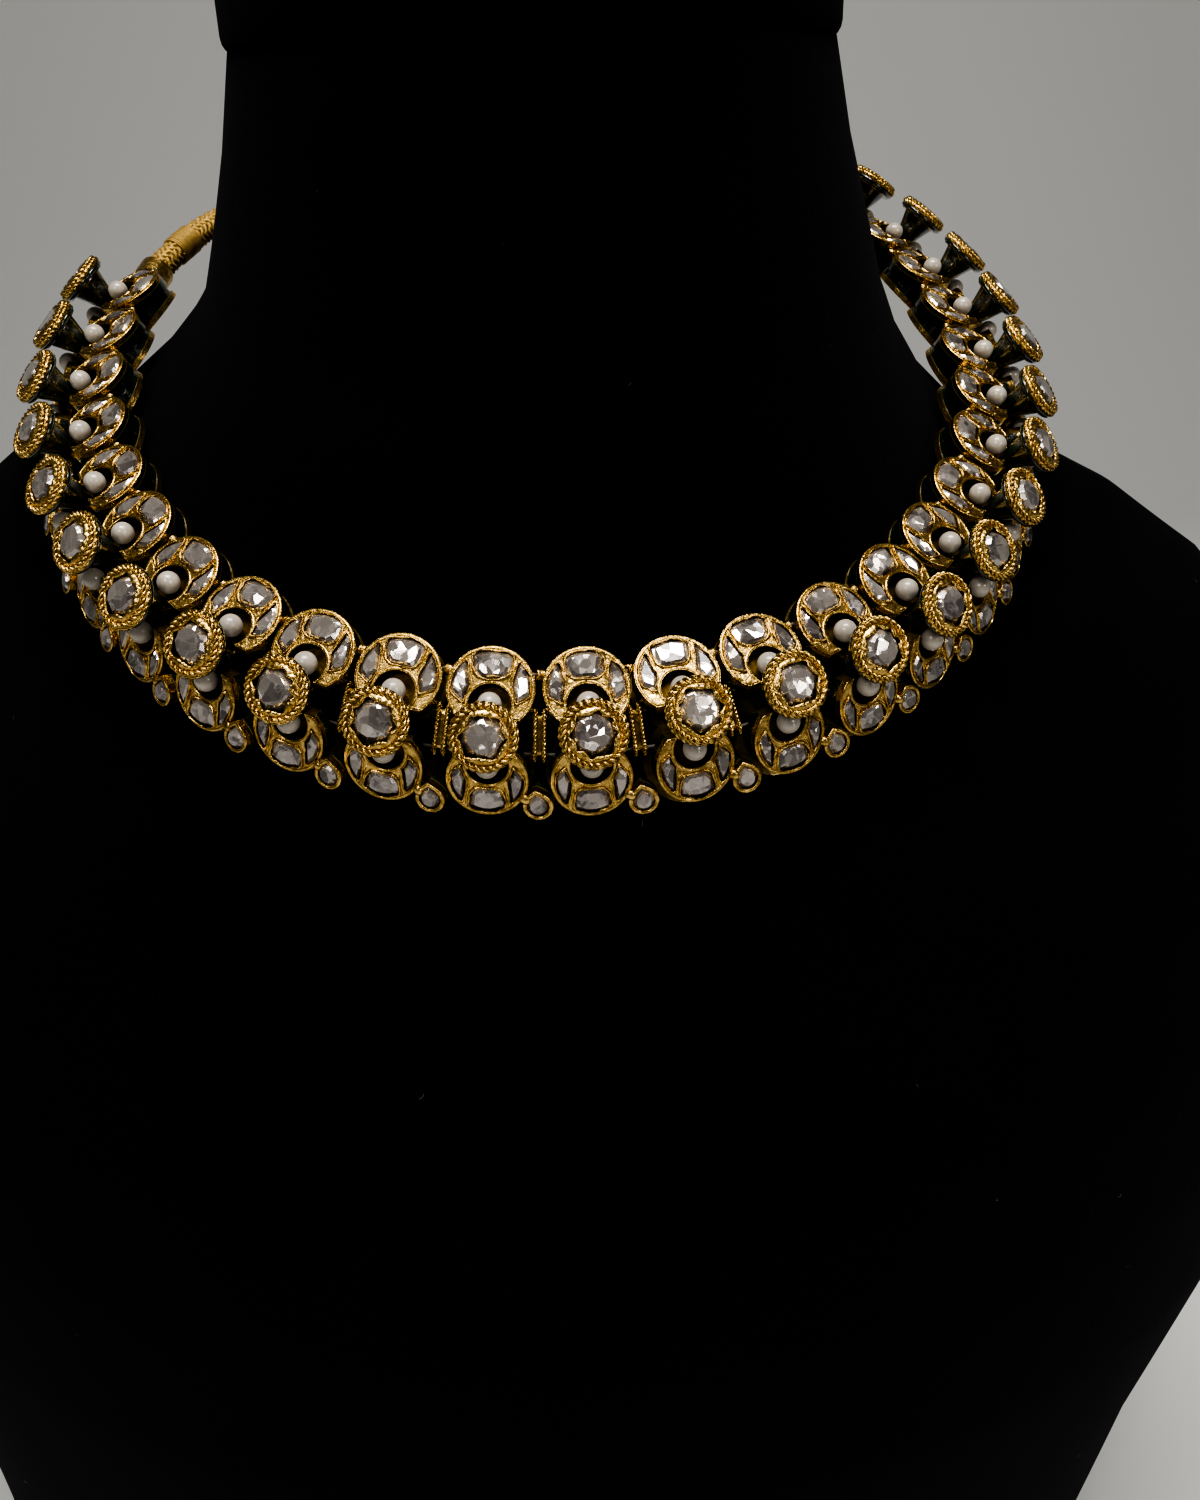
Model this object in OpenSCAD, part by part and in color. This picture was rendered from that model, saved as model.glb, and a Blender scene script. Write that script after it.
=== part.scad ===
// A kundan collar of twenty-five bent settings, worn by a plain velvet bust.
// The row frame stands on the foot of the bust: +Z up, the bust faces -Y, +X to the viewer's right.
// Ring frame: the studs' faces lie on one ellipse, tilted down in front.
// Setting frame: x along the collar, y up and inwards, z out of the face, origin on the ridge.

/* [Collar] */
// Settings on the collar
setting_count = 25; // [21:2:25]
// Half the width of the ring of stud faces
ring_half_width = 82; // [80:0.5:90]
// Half the depth of the ring of stud faces
ring_half_depth = 86; // [84:0.5:94]
// Distance from stud to stud along the ring
setting_pitch = 14.1; // [14:0.1:15]
// How far the middle setting has slid round to the side
collar_slide = 23.8; // [18:0.2:28]
// How far the ring dips in front, in degrees
ring_tilt = 25.5; // [22:0.5:29]
// How far the ring dips to its right, in degrees
ring_side_tilt = 2; // [0:0.5:3]
// How far each setting leans back from the ring's plane, in degrees
setting_lean = 42; // [40:1:46]

/* [Crescents] */
// Outer radius of the upper crescent
upper_radius = 5.85; // [5.6:0.05:5.95]
// Outer radius of the lower crescent
lower_radius = 5.5; // [5.2:0.05:5.7]
// Distance from the ridge to the centre of either crescent
crescent_reach = 6.6; // [6.4:0.1:7]
// Angle by which each crescent bends back from the ridge
crescent_bend = 22; // [18:1:24]
// Radius of the round notch
notch_radius = 2.9; // [2.8:0.05:3.2]
// How far the notch's centre sits towards the ridge from the crescent's
notch_shift = 2.2; // [2:0.1:2.3]
// How far the horns run past the crescent's centre
horn_length = 4.2; // [3.9:0.1:4.3]
// Height of the crescent's side wall
crescent_depth = 1.9; // [1.8:0.1:2.2]
// Thickness of the floor below the crescents
floor_thickness = 0.6; // [0.5:0.1:0.8]
// Width of gold between a cell and the crescent's edge
rim_width = 0.5; // [0.4:0.05:0.6]
// Depth of the stone cells
cell_depth = 0.8; // [0.6:0.05:0.9]
// Width of the strap that carries the crescents on the ridge
strap_width = 3.4; // [3:0.1:4]

/* [Stud] */
// Radius of the bezel, over its twisted wires
bezel_radius = 4.5; // [4.2:0.05:4.7]
// Height of the stud's face above the ridge
stud_rise = 4.85; // [4.5:0.05:5.2]
// How far the stud sits above the ridge line
stud_shift = 0.6; // [0.4:0.1:0.7]
// Height of the bezel's wall
bezel_height = 1.9; // [1.6:0.1:2.1]
// Radius of the twisted wire round the bezel
rope_radius = 0.45; // [0.35:0.05:0.5]
// Radius of the stone's seat
seat_radius = 3.25; // [3:0.05:3.3]
// Depth of the stone's seat
seat_depth = 1.2; // [0.9:0.05:1.4]
// Radius of the cone at its top
cone_top = 3.2; // [3:0.05:3.3]
// Radius of the cone at its foot
cone_foot = 1; // [0.8:0.05:1.1]

/* [Stones and pearls] */
// Clearance between a stone and its cell
stone_gap = 0.12; // [0.1:0.01:0.16]
// How far the stones stand above the gold
stone_crown = 0.35; // [0.25:0.05:0.5]
// How far a stud stone stands above its bezel
stud_crown = 0.6; // [0.4:0.05:0.8]
// Size of a stone's table as a share of its girdle
table_share = 0.68; // [0.55:0.01:0.8]
// Radius of a pearl
pearl_radius = 1.62; // [1.5:0.02:1.66]
// Radius of the hole drilled into a pearl from below
pearl_bore = 0.35; // [0.33:0.01:0.4]
// Radius of the peg that a pearl sits on
peg_radius = 0.22; // [0.18:0.01:0.24]
// Distance of a pearl from its crescent's centre, towards the ridge
pearl_shift = 2.2; // [2.1:0.05:2.25]
// Height of a pearl's centre above the crescent's face
pearl_height = 0.2; // [0:0.05:0.3]

/* [Drops] */
// Radius of the drop's round end
drop_radius = 2.1; // [2:0.05:2.2]
// Distance from the round end's centre to the tip
drop_tip = 2.6; // [2.5:0.1:2.9]
// Distance of a drop from its crescent's middle line
drop_side = 6.9; // [6.8:0.05:7]
// Distance of a drop from the ridge
drop_reach = 10.1; // [10:0.1:10.4]
// How far a drop's face stands above the crescent's
drop_proud = 0.5; // [0.3:0.1:0.7]
// Turn of the drop's tip from straight up towards its crescent, in degrees
drop_turn = 10; // [0:5:20]
// Radius of the solder that joins a drop to its crescent
solder_radius = 0.85; // [0.6:0.05:0.9]

/* [Back] */
// Thickness of the back plate
plate_thickness = 0.9; // [0.7:0.1:1.1]
// Distance from the ridge to the plate's back face
plate_drop = 8.9; // [8.7:0.1:9.2]
// Radius of the plate's upper scallop
plate_upper_radius = 5.6; // [5.3:0.05:5.7]
// Distance from the ridge to the upper scallop's centre
plate_upper_reach = 4.7; // [4.5:0.1:4.9]
// Radius of the plate's lower scallop
plate_lower_radius = 5.8; // [5.5:0.05:6]
// Distance from the ridge to the lower scallop's centre
plate_lower_reach = 5.4; // [5.2:0.1:5.7]
// How far the enamelled foot stands in from its crescent's edge
foot_inset = 1.1; // [0.9:0.1:1.4]
// Room that the bust leaves under the collar, so that the settings can roll on their threads
seat_gap = 1.5; // [1.4:0.05:1.7]
// Distance of the foot's inner end from its horns' line, as a share of its inset
foot_step = 2; // [1.8:0.1:2.2]

/* [Threads and spacers] */
// Radius of a thread
thread_radius = 0.2; // [0.16:0.01:0.21]
// Radius of a thread's hole
thread_bore = 0.33; // [0.32:0.01:0.36]
// Radius of the rails that the two middle threads run in
rail_radius = 0.75; // [0.65:0.05:0.85]
// Half the length of the rails
rail_half = 4; // [3.7:0.1:4.2]
// Depth of the middle threads below the ridge
thread_drop = 4.6; // [4.5:0.05:4.8]
// Distance between the two middle threads
thread_spread = 5; // [4.8:0.1:5.2]
// How far the two middle threads' middle line sits below the ridge line
thread_shift = 0.2; // [0:0.1:0.4]
// Distance of the top thread from the ridge
top_thread_reach = 9.25; // [9.15:0.05:9.35]
// Depth of the top thread below the crescent's face
top_thread_depth = 1.55; // [1.5:0.05:1.65]
// Height of a spacer bar
spacer_height = 6.8; // [6.7:0.1:7.2]
// Depth of a spacer bar from front to back
spacer_depth = 1.9; // [1.7:0.1:2.2]
// Width of a spacer bar along the collar
spacer_width = 1.9; // [1.6:0.1:2.3]
// Width of the groove between a spacer's two rims
spacer_groove = 0.6; // [0.4:0.1:0.8]
// Radius of a link bead
link_bead_radius = 0.62; // [0.56:0.02:0.66]

/* [Cord] */
// Radius of the cord
cord_radius = 2.4; // [2:0.1:2.6]
// Clearance round the cord in its ends and in the slider
cord_gap = 0.12; // [0.1:0.01:0.2]
// Outer radius of a cord end
cord_end_radius = 3; // [2.8:0.1:3.3]
// Length of a cord end
cord_end_length = 5; // [4.5:0.5:6]
// Distance from the last setting's middle to the mouth of its cord end
cord_end_reach = 8.6; // [8.4:0.1:9.4]
// Radius of an end bead
end_bead_radius = 0.85; // [0.7:0.05:0.9]
// How far a cord end sits above the ridge line of the last setting
cord_end_rise = 1; // [0.5:0.25:2]
// Depth of a cord end below the ridge
cord_end_drop = 5; // [4.5:0.1:5.5]
// How far the threads fan out inside a cord end
thread_fan = 1; // [0.8:0.05:1.1]
// Length of the slider on the cord
slider_length = 8; // [6:1:10]
// Radius of the slider
slider_radius = 3.5; // [3.2:0.1:3.8]

/* [Bust] */
// Height of the ring's centre above the foot
ring_height = 310; // [290:5:330]
// Height of the neck's top above the ring's centre
neck_rise = 43; // [42:1:50]
// Radius of the neck at its top
neck_radius = 45.5; // [44:0.5:46]
// Half the width of the shoulders
shoulder_half = 155; // [150:1:170]
// Depth of the chest in front of the ring's centre
chest_depth = 97; // [95:1:108]
// Depth of the back behind the ring's centre
back_depth = 82; // [80:1:92]
// Height of the neck's cap
cap_height = 12; // [8:1:20]
// How far the cap overhangs the neck
cap_overhang = 0.8; // [0:0.1:1.5]
// How far the cap's top edge is rounded in
cap_round = 3.6; // [2:0.2:5]
// Gap between the cap and the neck
cap_gap = 0.3; // [0.2:0.05:0.4]

/* [Hidden] */
function two_digits(i) = str(i < 10 ? "0" : "", i);
setting_names = [for (i = [1:setting_count]) str("setting_", two_digits(i))];
gold = "goldenrod";
// How far a cut runs past the face that it opens
past = 0.5;
// Half the side of a block that covers a whole setting
far = 3 * crescent_reach;
// How each setting hangs on its threads, in degrees: roll about the threads, and turn in its own plane
loose_turns = [
    [4, -2], [3, -1], [4, 1], [3, 0], [1, 0],
    [2, 1], [2, -1], [0, 0], [4, 0], [6, 0],
    [6, 1], [3, 0], [-5, -0.5], [-4, -0.5], [0, -0.5],
    [2, -0.5], [-1, 0], [0, 1], [3, 1.5], [2, 1],
    [-2, 0.5], [-1, 0], [0, 0.5], [0, 1], [0, 0]
];

// Arc length along the ring from its back, at each degree of the ellipse's parameter
function ring_step(t) = norm([ring_half_width * cos(t), ring_half_depth * sin(t)]) * PI / 180;
ring_arc = [for (t = -180, s = 0; t <= 180; s = s + ring_step(t + 0.5), t = t + 1) [s, t]];
ring_front = ring_arc[180][0];
middle_setting = (setting_count + 1) / 2;
function station(i) = lookup(ring_front + collar_slide + (i - middle_setting) * setting_pitch, ring_arc);

// Places in the ring frame, from a place in a setting
function ring_out(y, z) = -(y - stud_shift) * cos(setting_lean) + (z - stud_rise) * sin(setting_lean);
function ring_up(y, z) = (y - stud_shift) * sin(setting_lean) + (z - stud_rise) * cos(setting_lean);
function ring_point(t) = [ring_half_width * sin(t), -ring_half_depth * cos(t), 0];
function ring_turn(t) = atan2(ring_half_depth * sin(t), ring_half_width * cos(t));
function along(t) = [cos(ring_turn(t)), sin(ring_turn(t)), 0];
function outward(t) = [sin(ring_turn(t)), -cos(ring_turn(t)), 0];
function turn_x(p, a) = [p[0], p[1] * cos(a) - p[2] * sin(a), p[1] * sin(a) + p[2] * cos(a)];
function turn_y(p, a) = [p[0] * cos(a) + p[2] * sin(a), p[1], p[2] * cos(a) - p[0] * sin(a)];
function turn_z(p, a) = [p[0] * cos(a) - p[1] * sin(a), p[0] * sin(a) + p[1] * cos(a), p[2]];
pivot = [0, -thread_shift, -thread_drop];
function loosely(i, p) = pivot + turn_z(turn_x(p - pivot, loose_turns[i - 1][0]), loose_turns[i - 1][1]);
function in_ring(i, p) = let (t = station(i), q = loosely(i, p))
    ring_point(t) + q[0] * along(t) + ring_out(q[1], q[2]) * outward(t) + [0, 0, ring_up(q[1], q[2])];

// A place in a setting, from the upper crescent's plane: x across, r from the ridge, h above the face
function on_upper(x, r, h) =
    [x, r * cos(crescent_bend) + h * sin(crescent_bend), h * cos(crescent_bend) - r * sin(crescent_bend)];

// The ring frame set in the row frame
function in_row(p) = turn_y(turn_x(p, ring_tilt), ring_side_tilt) + [0, 0, ring_height];

module in_ring_frame() {
    translate([0, 0, ring_height]) rotate([ring_tilt, ring_side_tilt, 0]) children();
}
module at_setting(i) {
    t = station(i);
    in_ring_frame() translate(ring_point(t)) rotate([0, 0, ring_turn(t)])
        translate([0, -ring_out(0, 0), ring_up(0, 0)]) rotate([setting_lean, 0, 0])
            translate(pivot) rotate([loose_turns[i - 1][0], 0, loose_turns[i - 1][1]])
                translate(-pivot) children();
}
module on_upper_plane() {
    rotate([-crescent_bend, 0, 0]) children();
}
module on_lower_plane() {
    rotate([0, 0, 180]) rotate([-crescent_bend, 0, 0]) children();
}

// Outlines in a crescent's plane, counterclockwise from its centre, with the ridge towards -y
function arc_points(r, from, to, n) =
    [for (k = [0:n - 1]) let (a = from + (to - from) * k / (n - 1)) [r * sin(a), r * cos(a)]];
function middle_outline(r, gap) = let (full = r - rim_width,
    low = notch_radius - notch_shift + rim_width + gap,
    half = asin((full * sin(32) - gap) / (full - gap)))
    concat(arc_points(full - gap, half, -half, 6),
        [for (p = [[-0.48, 0.8], [-0.33, 0], [0.33, 0], [0.48, 0.8]])
            [full * p[0] - gap * sign(p[0]), low + p[1]]]);
function side_outline(r) = let (out = r - rim_width, near = notch_radius + rim_width)
    concat(arc_points(out, 102, 40, 6),
        [for (b = [50, 70, 90]) [near * sin(b), near * cos(b) - notch_shift]]);
function drop_outline(w) = let (r = drop_radius - w, tip = drop_tip * r / drop_radius, a = acos(r / tip))
    concat([[0, tip]], [for (k = [0:9]) let (b = a + (360 - 2 * a) * k / 9) [-r * sin(b), r * cos(b)]]);
function mirrored(points) = [for (k = [len(points) - 1:-1:0]) [-points[k][0], points[k][1]]];
function middle_of(points) = [for (k = [0, 1])
    let (values = [for (p = points) p[k]]) (max(values) + min(values)) / 2];
function stud_outline(i) = [for (k = [0:10])
    let (r = (seat_radius - stone_gap) * (0.96 + 0.04 * sin(137 * i + 83 * k)), a = 360 * k / 11)
    [r * cos(a), r * sin(a)]];

// Faces between rings of n points each, from one ring up to the next
function walls(rings, n) = [for (r = [0:rings - 1], k = [0:n - 1]) let (m = (k + 1) % n)
    [r * n + k, (r + 1) * n + k, (r + 1) * n + m, r * n + m]];
function turned_over(faces) = [for (f = faces) [for (k = [len(f) - 1:-1:0]) f[k]]];

// A flat-backed cut stone: girdle outline, and the heights of its floor, girdle and table
module cut_stone(outline, floor_z, girdle_z, table_z) {
    n = len(outline);
    m = middle_of(outline);
    points = concat([for (p = outline) [p[0], p[1], floor_z]], [for (p = outline) [p[0], p[1], girdle_z]],
        [for (p = outline) let (q = m + table_share * (p - m)) [q[0], q[1], table_z]]);
    bottom = [for (k = [0:n - 1]) k];
    top = [for (k = [n - 1:-1:0]) 2 * n + k];
    polyhedron(points, concat([bottom], walls(2, n), [top]));
}

// A round tube swept through a list of places, none of whose stretches is upright
function unit(v) = v / norm(v);
function tube_ring(c, d, r, n) = let (side = unit(cross(d, [0, 0, 1])), up = cross(side, d))
    [for (k = [0:n - 1]) c + r * (cos(360 * k / n) * side + sin(360 * k / n) * up)];
function heading(p, k) = unit(p[min(k + 1, len(p) - 1)] - p[max(k - 1, 0)]);
module tube(p, r, n) {
    m = len(p);
    points = [for (k = [0:m - 1]) each tube_ring(p[k], heading(p, k), r, n)];
    ends = [[for (j = [0:n - 1]) j], [for (j = [n - 1:-1:0]) (m - 1) * n + j]];
    polyhedron(points, turned_over(concat(ends, walls(m - 1, n))));
}

// Moves a piece made round the x axis so that its axis runs from a to b, with its y axis nearest to up
module between(a, b, up) {
    x = unit(b - a);
    y = unit(up - (up * x) * x);
    z = cross(x, y);
    c = (a + b) / 2;
    multmatrix([for (k = [0:2]) [x[k], y[k], z[k], c[k]]]) children();
}
module x_rod(r, length) {
    rotate([0, 90, 0]) cylinder(r = r, h = length, center = true, $fn = 32);
}

// One crescent box on its floor, in its own plane
module crescent(r) {
    translate([0, crescent_reach, 0]) {
        difference() {
            translate([0, 0, -crescent_depth - floor_thickness])
                cylinder(r = r, h = crescent_depth + floor_thickness, $fn = 96);
            translate([0, -notch_shift, -crescent_depth])
                cylinder(r = notch_radius, h = crescent_depth + past, $fn = 64);
            translate([-r - past, -2 * r - horn_length, -crescent_depth - floor_thickness - past])
                cube([2 * (r + past), 2 * r, crescent_depth + floor_thickness + 2 * past]);
            translate([0, 0, -cell_depth]) linear_extrude(cell_depth + past) {
                polygon(middle_outline(r, 0));
                polygon(side_outline(r));
                polygon(mirrored(side_outline(r)));
            }
        }
    }
    translate([-strap_width / 2, 0, -crescent_depth - floor_thickness])
        cube([strap_width, crescent_reach - horn_length + past, floor_thickness]);
    peg_height = crescent_depth + pearl_height + pearl_radius / 4;
    translate([0, crescent_reach - pearl_shift, -crescent_depth - floor_thickness / 2])
        cylinder(r = peg_radius, h = peg_height + floor_thickness / 2, $fn = 24);
}

// The enamelled foot under a crescent, notched like it, from the back plate up into the crescent's floor
module foot(r) {
    tall = plate_drop + 2 * past;
    end = foot_step * foot_inset - horn_length;
    centre = crescent_reach * cos(crescent_bend) - floor_thickness;
    intersection() {
        translate([0, centre, -plate_drop + plate_thickness / 2])
            difference() {
                cylinder(r = r - foot_inset, h = plate_drop, $fn = 64);
                translate([0, -notch_shift, -past]) cylinder(r = notch_radius, h = tall, $fn = 64);
                translate([-far, end - 2 * far, -past]) cube([2 * far, 2 * far, tall]);
            }
        rotate([-crescent_bend, 0, 0])
            translate([-far, -far, -2 * far - crescent_depth - floor_thickness / 2])
            cube(2 * far);
    }
}

module stud() {
    wall_radius = bezel_radius - rope_radius;
    bezel_foot = stud_rise - bezel_height;
    cone_start = -crescent_depth - floor_thickness - past;
    translate([0, stud_shift, 0]) difference() {
        union() {
            translate([0, 0, cone_start])
                cylinder(r1 = cone_foot, r2 = cone_top, h = bezel_foot - cone_start, $fn = 64);
            translate([0, 0, bezel_foot]) cylinder(r = wall_radius, h = bezel_height, $fn = 64);
            for (z = [stud_rise - 1.3 * rope_radius, bezel_foot + 1.3 * rope_radius])
                translate([0, 0, z]) rotate_extrude($fn = 64)
                    translate([wall_radius, 0]) circle(r = rope_radius, $fn = 24);
        }
        translate([0, 0, stud_rise - seat_depth])
            cylinder(r = seat_radius, h = seat_depth + past, $fn = 64);
    }
}

module drop_place() {
    translate([-drop_side, drop_reach, 0]) rotate([0, 0, 180 + drop_turn]) children();
}
module drop_setting() {
    drop_place() difference() {
        translate([0, 0, -crescent_depth]) linear_extrude(crescent_depth + drop_proud)
            polygon(drop_outline(0));
        translate([0, 0, drop_proud - cell_depth]) linear_extrude(cell_depth + past)
            polygon(drop_outline(rim_width));
    }
    across = [-drop_side, drop_reach - crescent_reach];
    joint = unit(across) * (lower_radius + norm(across) - drop_radius) / 2;
    translate([joint[0], crescent_reach + joint[1], -crescent_depth])
        cylinder(r = solder_radius, h = crescent_depth - cell_depth, $fn = 24);
}

module back_plate() {
    translate([0, 0, -plate_drop]) {
        translate([0, plate_upper_reach, 0])
            cylinder(r = plate_upper_radius, h = plate_thickness, $fn = 96);
        translate([0, -plate_lower_reach, 0])
            cylinder(r = plate_lower_radius, h = plate_thickness, $fn = 96);
    }
}

function thread_y(k) = k * thread_spread / 2 - thread_shift;
module rails() {
    web = strap_width / 2 - rim_width;
    for (k = [-1, 1])
        translate([0, thread_y(k), -thread_drop]) x_rod(rail_radius, 2 * rail_half);
    web_foot = -plate_drop + plate_thickness / 2;
    translate([-web, thread_y(-1) - rail_radius / 2, web_foot])
        cube([2 * web, thread_spread + rail_radius, rail_radius / 2 - thread_drop - web_foot]);
}

module setting(i) {
    color(gold) at_setting(i) difference() {
        union() {
            on_upper_plane() crescent(upper_radius);
            on_lower_plane() crescent(lower_radius);
            foot(upper_radius);
            rotate([0, 0, 180]) foot(lower_radius);
            stud();
            back_plate();
            rails();
            if (i < setting_count) on_lower_plane() drop_setting();
        }
        for (k = [-1, 1])
            translate([0, thread_y(k), -thread_drop]) x_rod(thread_bore, 4 * rail_half);
        translate(on_upper(0, top_thread_reach, -top_thread_depth)) x_rod(thread_bore, 4 * rail_half);
    }
}

module stud_stones() {
    color("lightgray") for (i = [1:setting_count])
        at_setting(i) translate([0, stud_shift, stud_rise])
            cut_stone(stud_outline(i), stone_gap - seat_depth, -seat_depth / 3, stud_crown);
}
module crescent_stones(r) {
    translate([0, crescent_reach, 0])
        cut_stone(middle_outline(r, stone_gap), stone_gap - cell_depth, -cell_depth / 4, stone_crown);
}
module upper_stones() {
    color("lightgray") for (i = [1:setting_count])
        at_setting(i) on_upper_plane() crescent_stones(upper_radius);
}
module lower_stones() {
    color("lightgray") for (i = [1:setting_count])
        at_setting(i) on_lower_plane() crescent_stones(lower_radius);
}
module drop_stones() {
    color("lightgray") for (i = [1:setting_count - 1])
        at_setting(i) on_lower_plane() drop_place() translate([0, 0, drop_proud])
            cut_stone(drop_outline(rim_width + stone_gap), stone_gap - cell_depth,
                -cell_depth / 4, stone_crown);
}

module pearl() {
    translate([0, crescent_reach - pearl_shift, pearl_height]) difference() {
        sphere(r = pearl_radius, $fn = 48);
        translate([0, 0, -2 * pearl_radius]) cylinder(r = pearl_bore, h = 2.5 * pearl_radius, $fn = 24);
    }
}
module upper_pearls() {
    color("ivory") for (i = [1:setting_count])
        at_setting(i) on_upper_plane() pearl();
}
module lower_pearls() {
    color("ivory") for (i = [1:setting_count])
        at_setting(i) on_lower_plane() pearl();
}

// Where each thread bends, just outside a setting's bore: side -1 or 1, thread 0 lower, 1 upper, 2 top
top_half = upper_radius - rim_width / 2;
function thread_end(i, side, thread) = in_ring(i, thread == 2
    ? on_upper(side * top_half, top_thread_reach, -top_thread_depth)
    : [side * (rail_half + rim_width / 2), thread_y(thread == 1 ? 1 : -1), -thread_drop]);
// Middle of each cord end's mouth, and where the three threads stop inside it
thread_stop = [[0, -1, 0], [0, 0, 0.7], [0, 1, 0]];
function last_setting(side) = side < 0 ? 1 : setting_count;
function cord_end_place(side, x) = in_ring(last_setting(side), [side * x, cord_end_rise, -cord_end_drop]);
function thread_last(side, thread) = in_ring(last_setting(side), thread_fan * thread_stop[thread]
    + [side * (cord_end_reach + 0.06 * cord_end_length), cord_end_rise, -cord_end_drop]);

module thread(which) {
    bends = [for (i = [1:setting_count], side = [-1, 1]) thread_end(i, side, which)];
    route = concat([thread_last(-1, which)], bends, [thread_last(1, which)]);
    color("whitesmoke") in_ring_frame() tube(route, thread_radius, 8);
}
module lower_thread() {
    thread(0);
}
module upper_thread() {
    thread(1);
}
module top_thread() {
    thread(2);
}

// Outline with round ends, for the spacer bars
function pill(h, w) = [for (s = [1, -1], k = [0:6]) let (a = (s > 0 ? 0 : 180) + k * 30)
    [s * (h - w) / 2 + w / 2 * sin(a), -w / 2 * cos(a)]];
module upright_bar(h, w, thick) {
    rotate([90, 0, 90]) linear_extrude(thick, center = true) polygon(pill(h, w));
}
module spacer() {
    for (side = [-1, 1])
        translate([side * (spacer_width + spacer_groove) / 4, 0, 0])
            upright_bar(spacer_height, spacer_depth, (spacer_width - spacer_groove) / 2);
    upright_bar(spacer_height - 2 * spacer_groove, spacer_depth - spacer_groove,
        spacer_groove + rim_width / 2);
}
module spacers() {
    color(gold) in_ring_frame() for (i = [1:setting_count - 1]) {
        a = [for (k = [0, 1]) thread_end(i, 1, k)];
        b = [for (k = [0, 1]) thread_end(i + 1, -1, k)];
        lower = (a[0] + b[0]) / 2;
        upper = (a[1] + b[1]) / 2;
        between((a[0] + a[1]) / 2, (b[0] + b[1]) / 2, upper - lower) difference() {
            spacer();
            for (k = [-1, 1])
                translate([0, k * norm(upper - lower) / 2, 0]) x_rod(thread_bore, 2 * spacer_width);
        }
    }
}
module bead(r) {
    rotate([0, 90, 0]) difference() {
        sphere(r = r, $fn = 32);
        cylinder(r = thread_bore, h = 4 * r, center = true, $fn = 24);
    }
}
module link_beads() {
    color(gold) in_ring_frame() for (i = [1:setting_count - 1])
        between(thread_end(i, 1, 2), thread_end(i + 1, -1, 2), [0, 0, 1]) bead(link_bead_radius);
}

// Which thread each end bead is on, and how far along to the cord end
end_bead_places = [[2, 0.42], [1, 0.45], [0, 0.34], [0, 0.66]];
module end_beads() {
    color("darkgreen") in_ring_frame() for (side = [-1, 1], place = end_bead_places) {
        a = thread_end(last_setting(side), side, place[0]);
        b = thread_last(side, place[0]);
        middle = a + place[1] * (b - a);
        between(middle - unit(b - a), middle + unit(b - a), [0, 0, 1]) bead(end_bead_radius);
    }
}

module cord_end(side) {
    a = cord_end_place(side, cord_end_reach);
    b = cord_end_place(side, cord_end_reach + cord_end_length);
    wall = cord_end_radius - cord_radius - cord_gap;
    color(gold) in_ring_frame() between(a, b, [0, 0, 1]) difference() {
        x_rod(cord_end_radius, cord_end_length);
        translate([-cord_end_length / 2, 0, 0]) x_rod(cord_end_radius - wall, 0.84 * cord_end_length);
        translate([cord_end_length / 2, 0, 0]) x_rod(cord_radius + cord_gap, 0.84 * cord_end_length);
    }
}
module cord_end_left() {
    cord_end(-1);
}
module cord_end_right() {
    cord_end(1);
}

// The cord's route round the nape, from the ring's centre, in the row frame's directions
cord_route = [
    [-68.4, 32, 11.3], [-64.4, 38.4, 14.4], [-57.5, 45, 17.2], [-47, 51.5, 20],
    [-34, 57, 22.7], [-20, 60.5, 24.5], [-10, 61.5, 25], [0, 61.5, 25],
    [10, 61.5, 25], [20, 62, 24.8], [30, 62.2, 24], [39, 62, 22.3]
];
function cord_start(side) = [for (x = side < 0 ? [0.3, 1.2] : [1.2, 0.3])
    in_row(cord_end_place(side, cord_end_reach + cord_end_length * (0.5 + 0.5 * x)))];
module cord() {
    middle = [for (p = cord_route) p + [0, 0, ring_height]];
    color("darkgoldenrod") tube(concat(cord_start(-1), middle, cord_start(1)), cord_radius, 10);
}
module cord_slider() {
    a = cord_route[6] + [0, 0, ring_height];
    b = cord_route[8] + [0, 0, ring_height];
    color(gold) between(a, b, [0, 0, 1]) difference() {
        x_rod(slider_radius, slider_length);
        x_rod(cord_radius + cord_gap, 2 * slider_length);
    }
}

// Sections of the bust: heights from the ring's centre at the side, front and back; half width; reach of
// the front and the back; depth of the widest place; share of the ring's sideways tilt
plate_low = [-plate_lower_reach - plate_lower_radius, -plate_drop];
plate_high = [plate_upper_reach + plate_upper_radius, -plate_drop];
function ring_section(edge, back_z, back) = let (out = ring_out(edge[0], edge[1] - seat_gap),
    up = ring_up(edge[0], edge[1] - seat_gap), side = up * cos(ring_tilt), deep = ring_half_depth + out)
    [side, side - deep * sin(ring_tilt), back_z, ring_half_width + out,
        deep * cos(ring_tilt) + up * sin(ring_tilt), back, -up * sin(ring_tilt), 1];
// Neck rows, as shares: height, front dip and back rise of neck_rise; half width, front, back and middle
// of neck_radius; tilt
neck_rows = [
    [1, 0, 0, 1.02, 0.93, 1.07, 0.07, -0.8],
    [0.7, 0.05, 0.03, 1.08, 0.98, 1.1, 0.07, -0.8],
    [0.44, 0.14, 0.1, 1.15, 1.04, 1.15, 0.07, -0.6],
    [0.23, 0.25, 0.19, 1.21, 1.1, 1.21, 0.065, -0.2],
    [0.08, 0.42, 0.24, 1.285, 1.2, 1.27, 0.05, 0.6]
];
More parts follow.
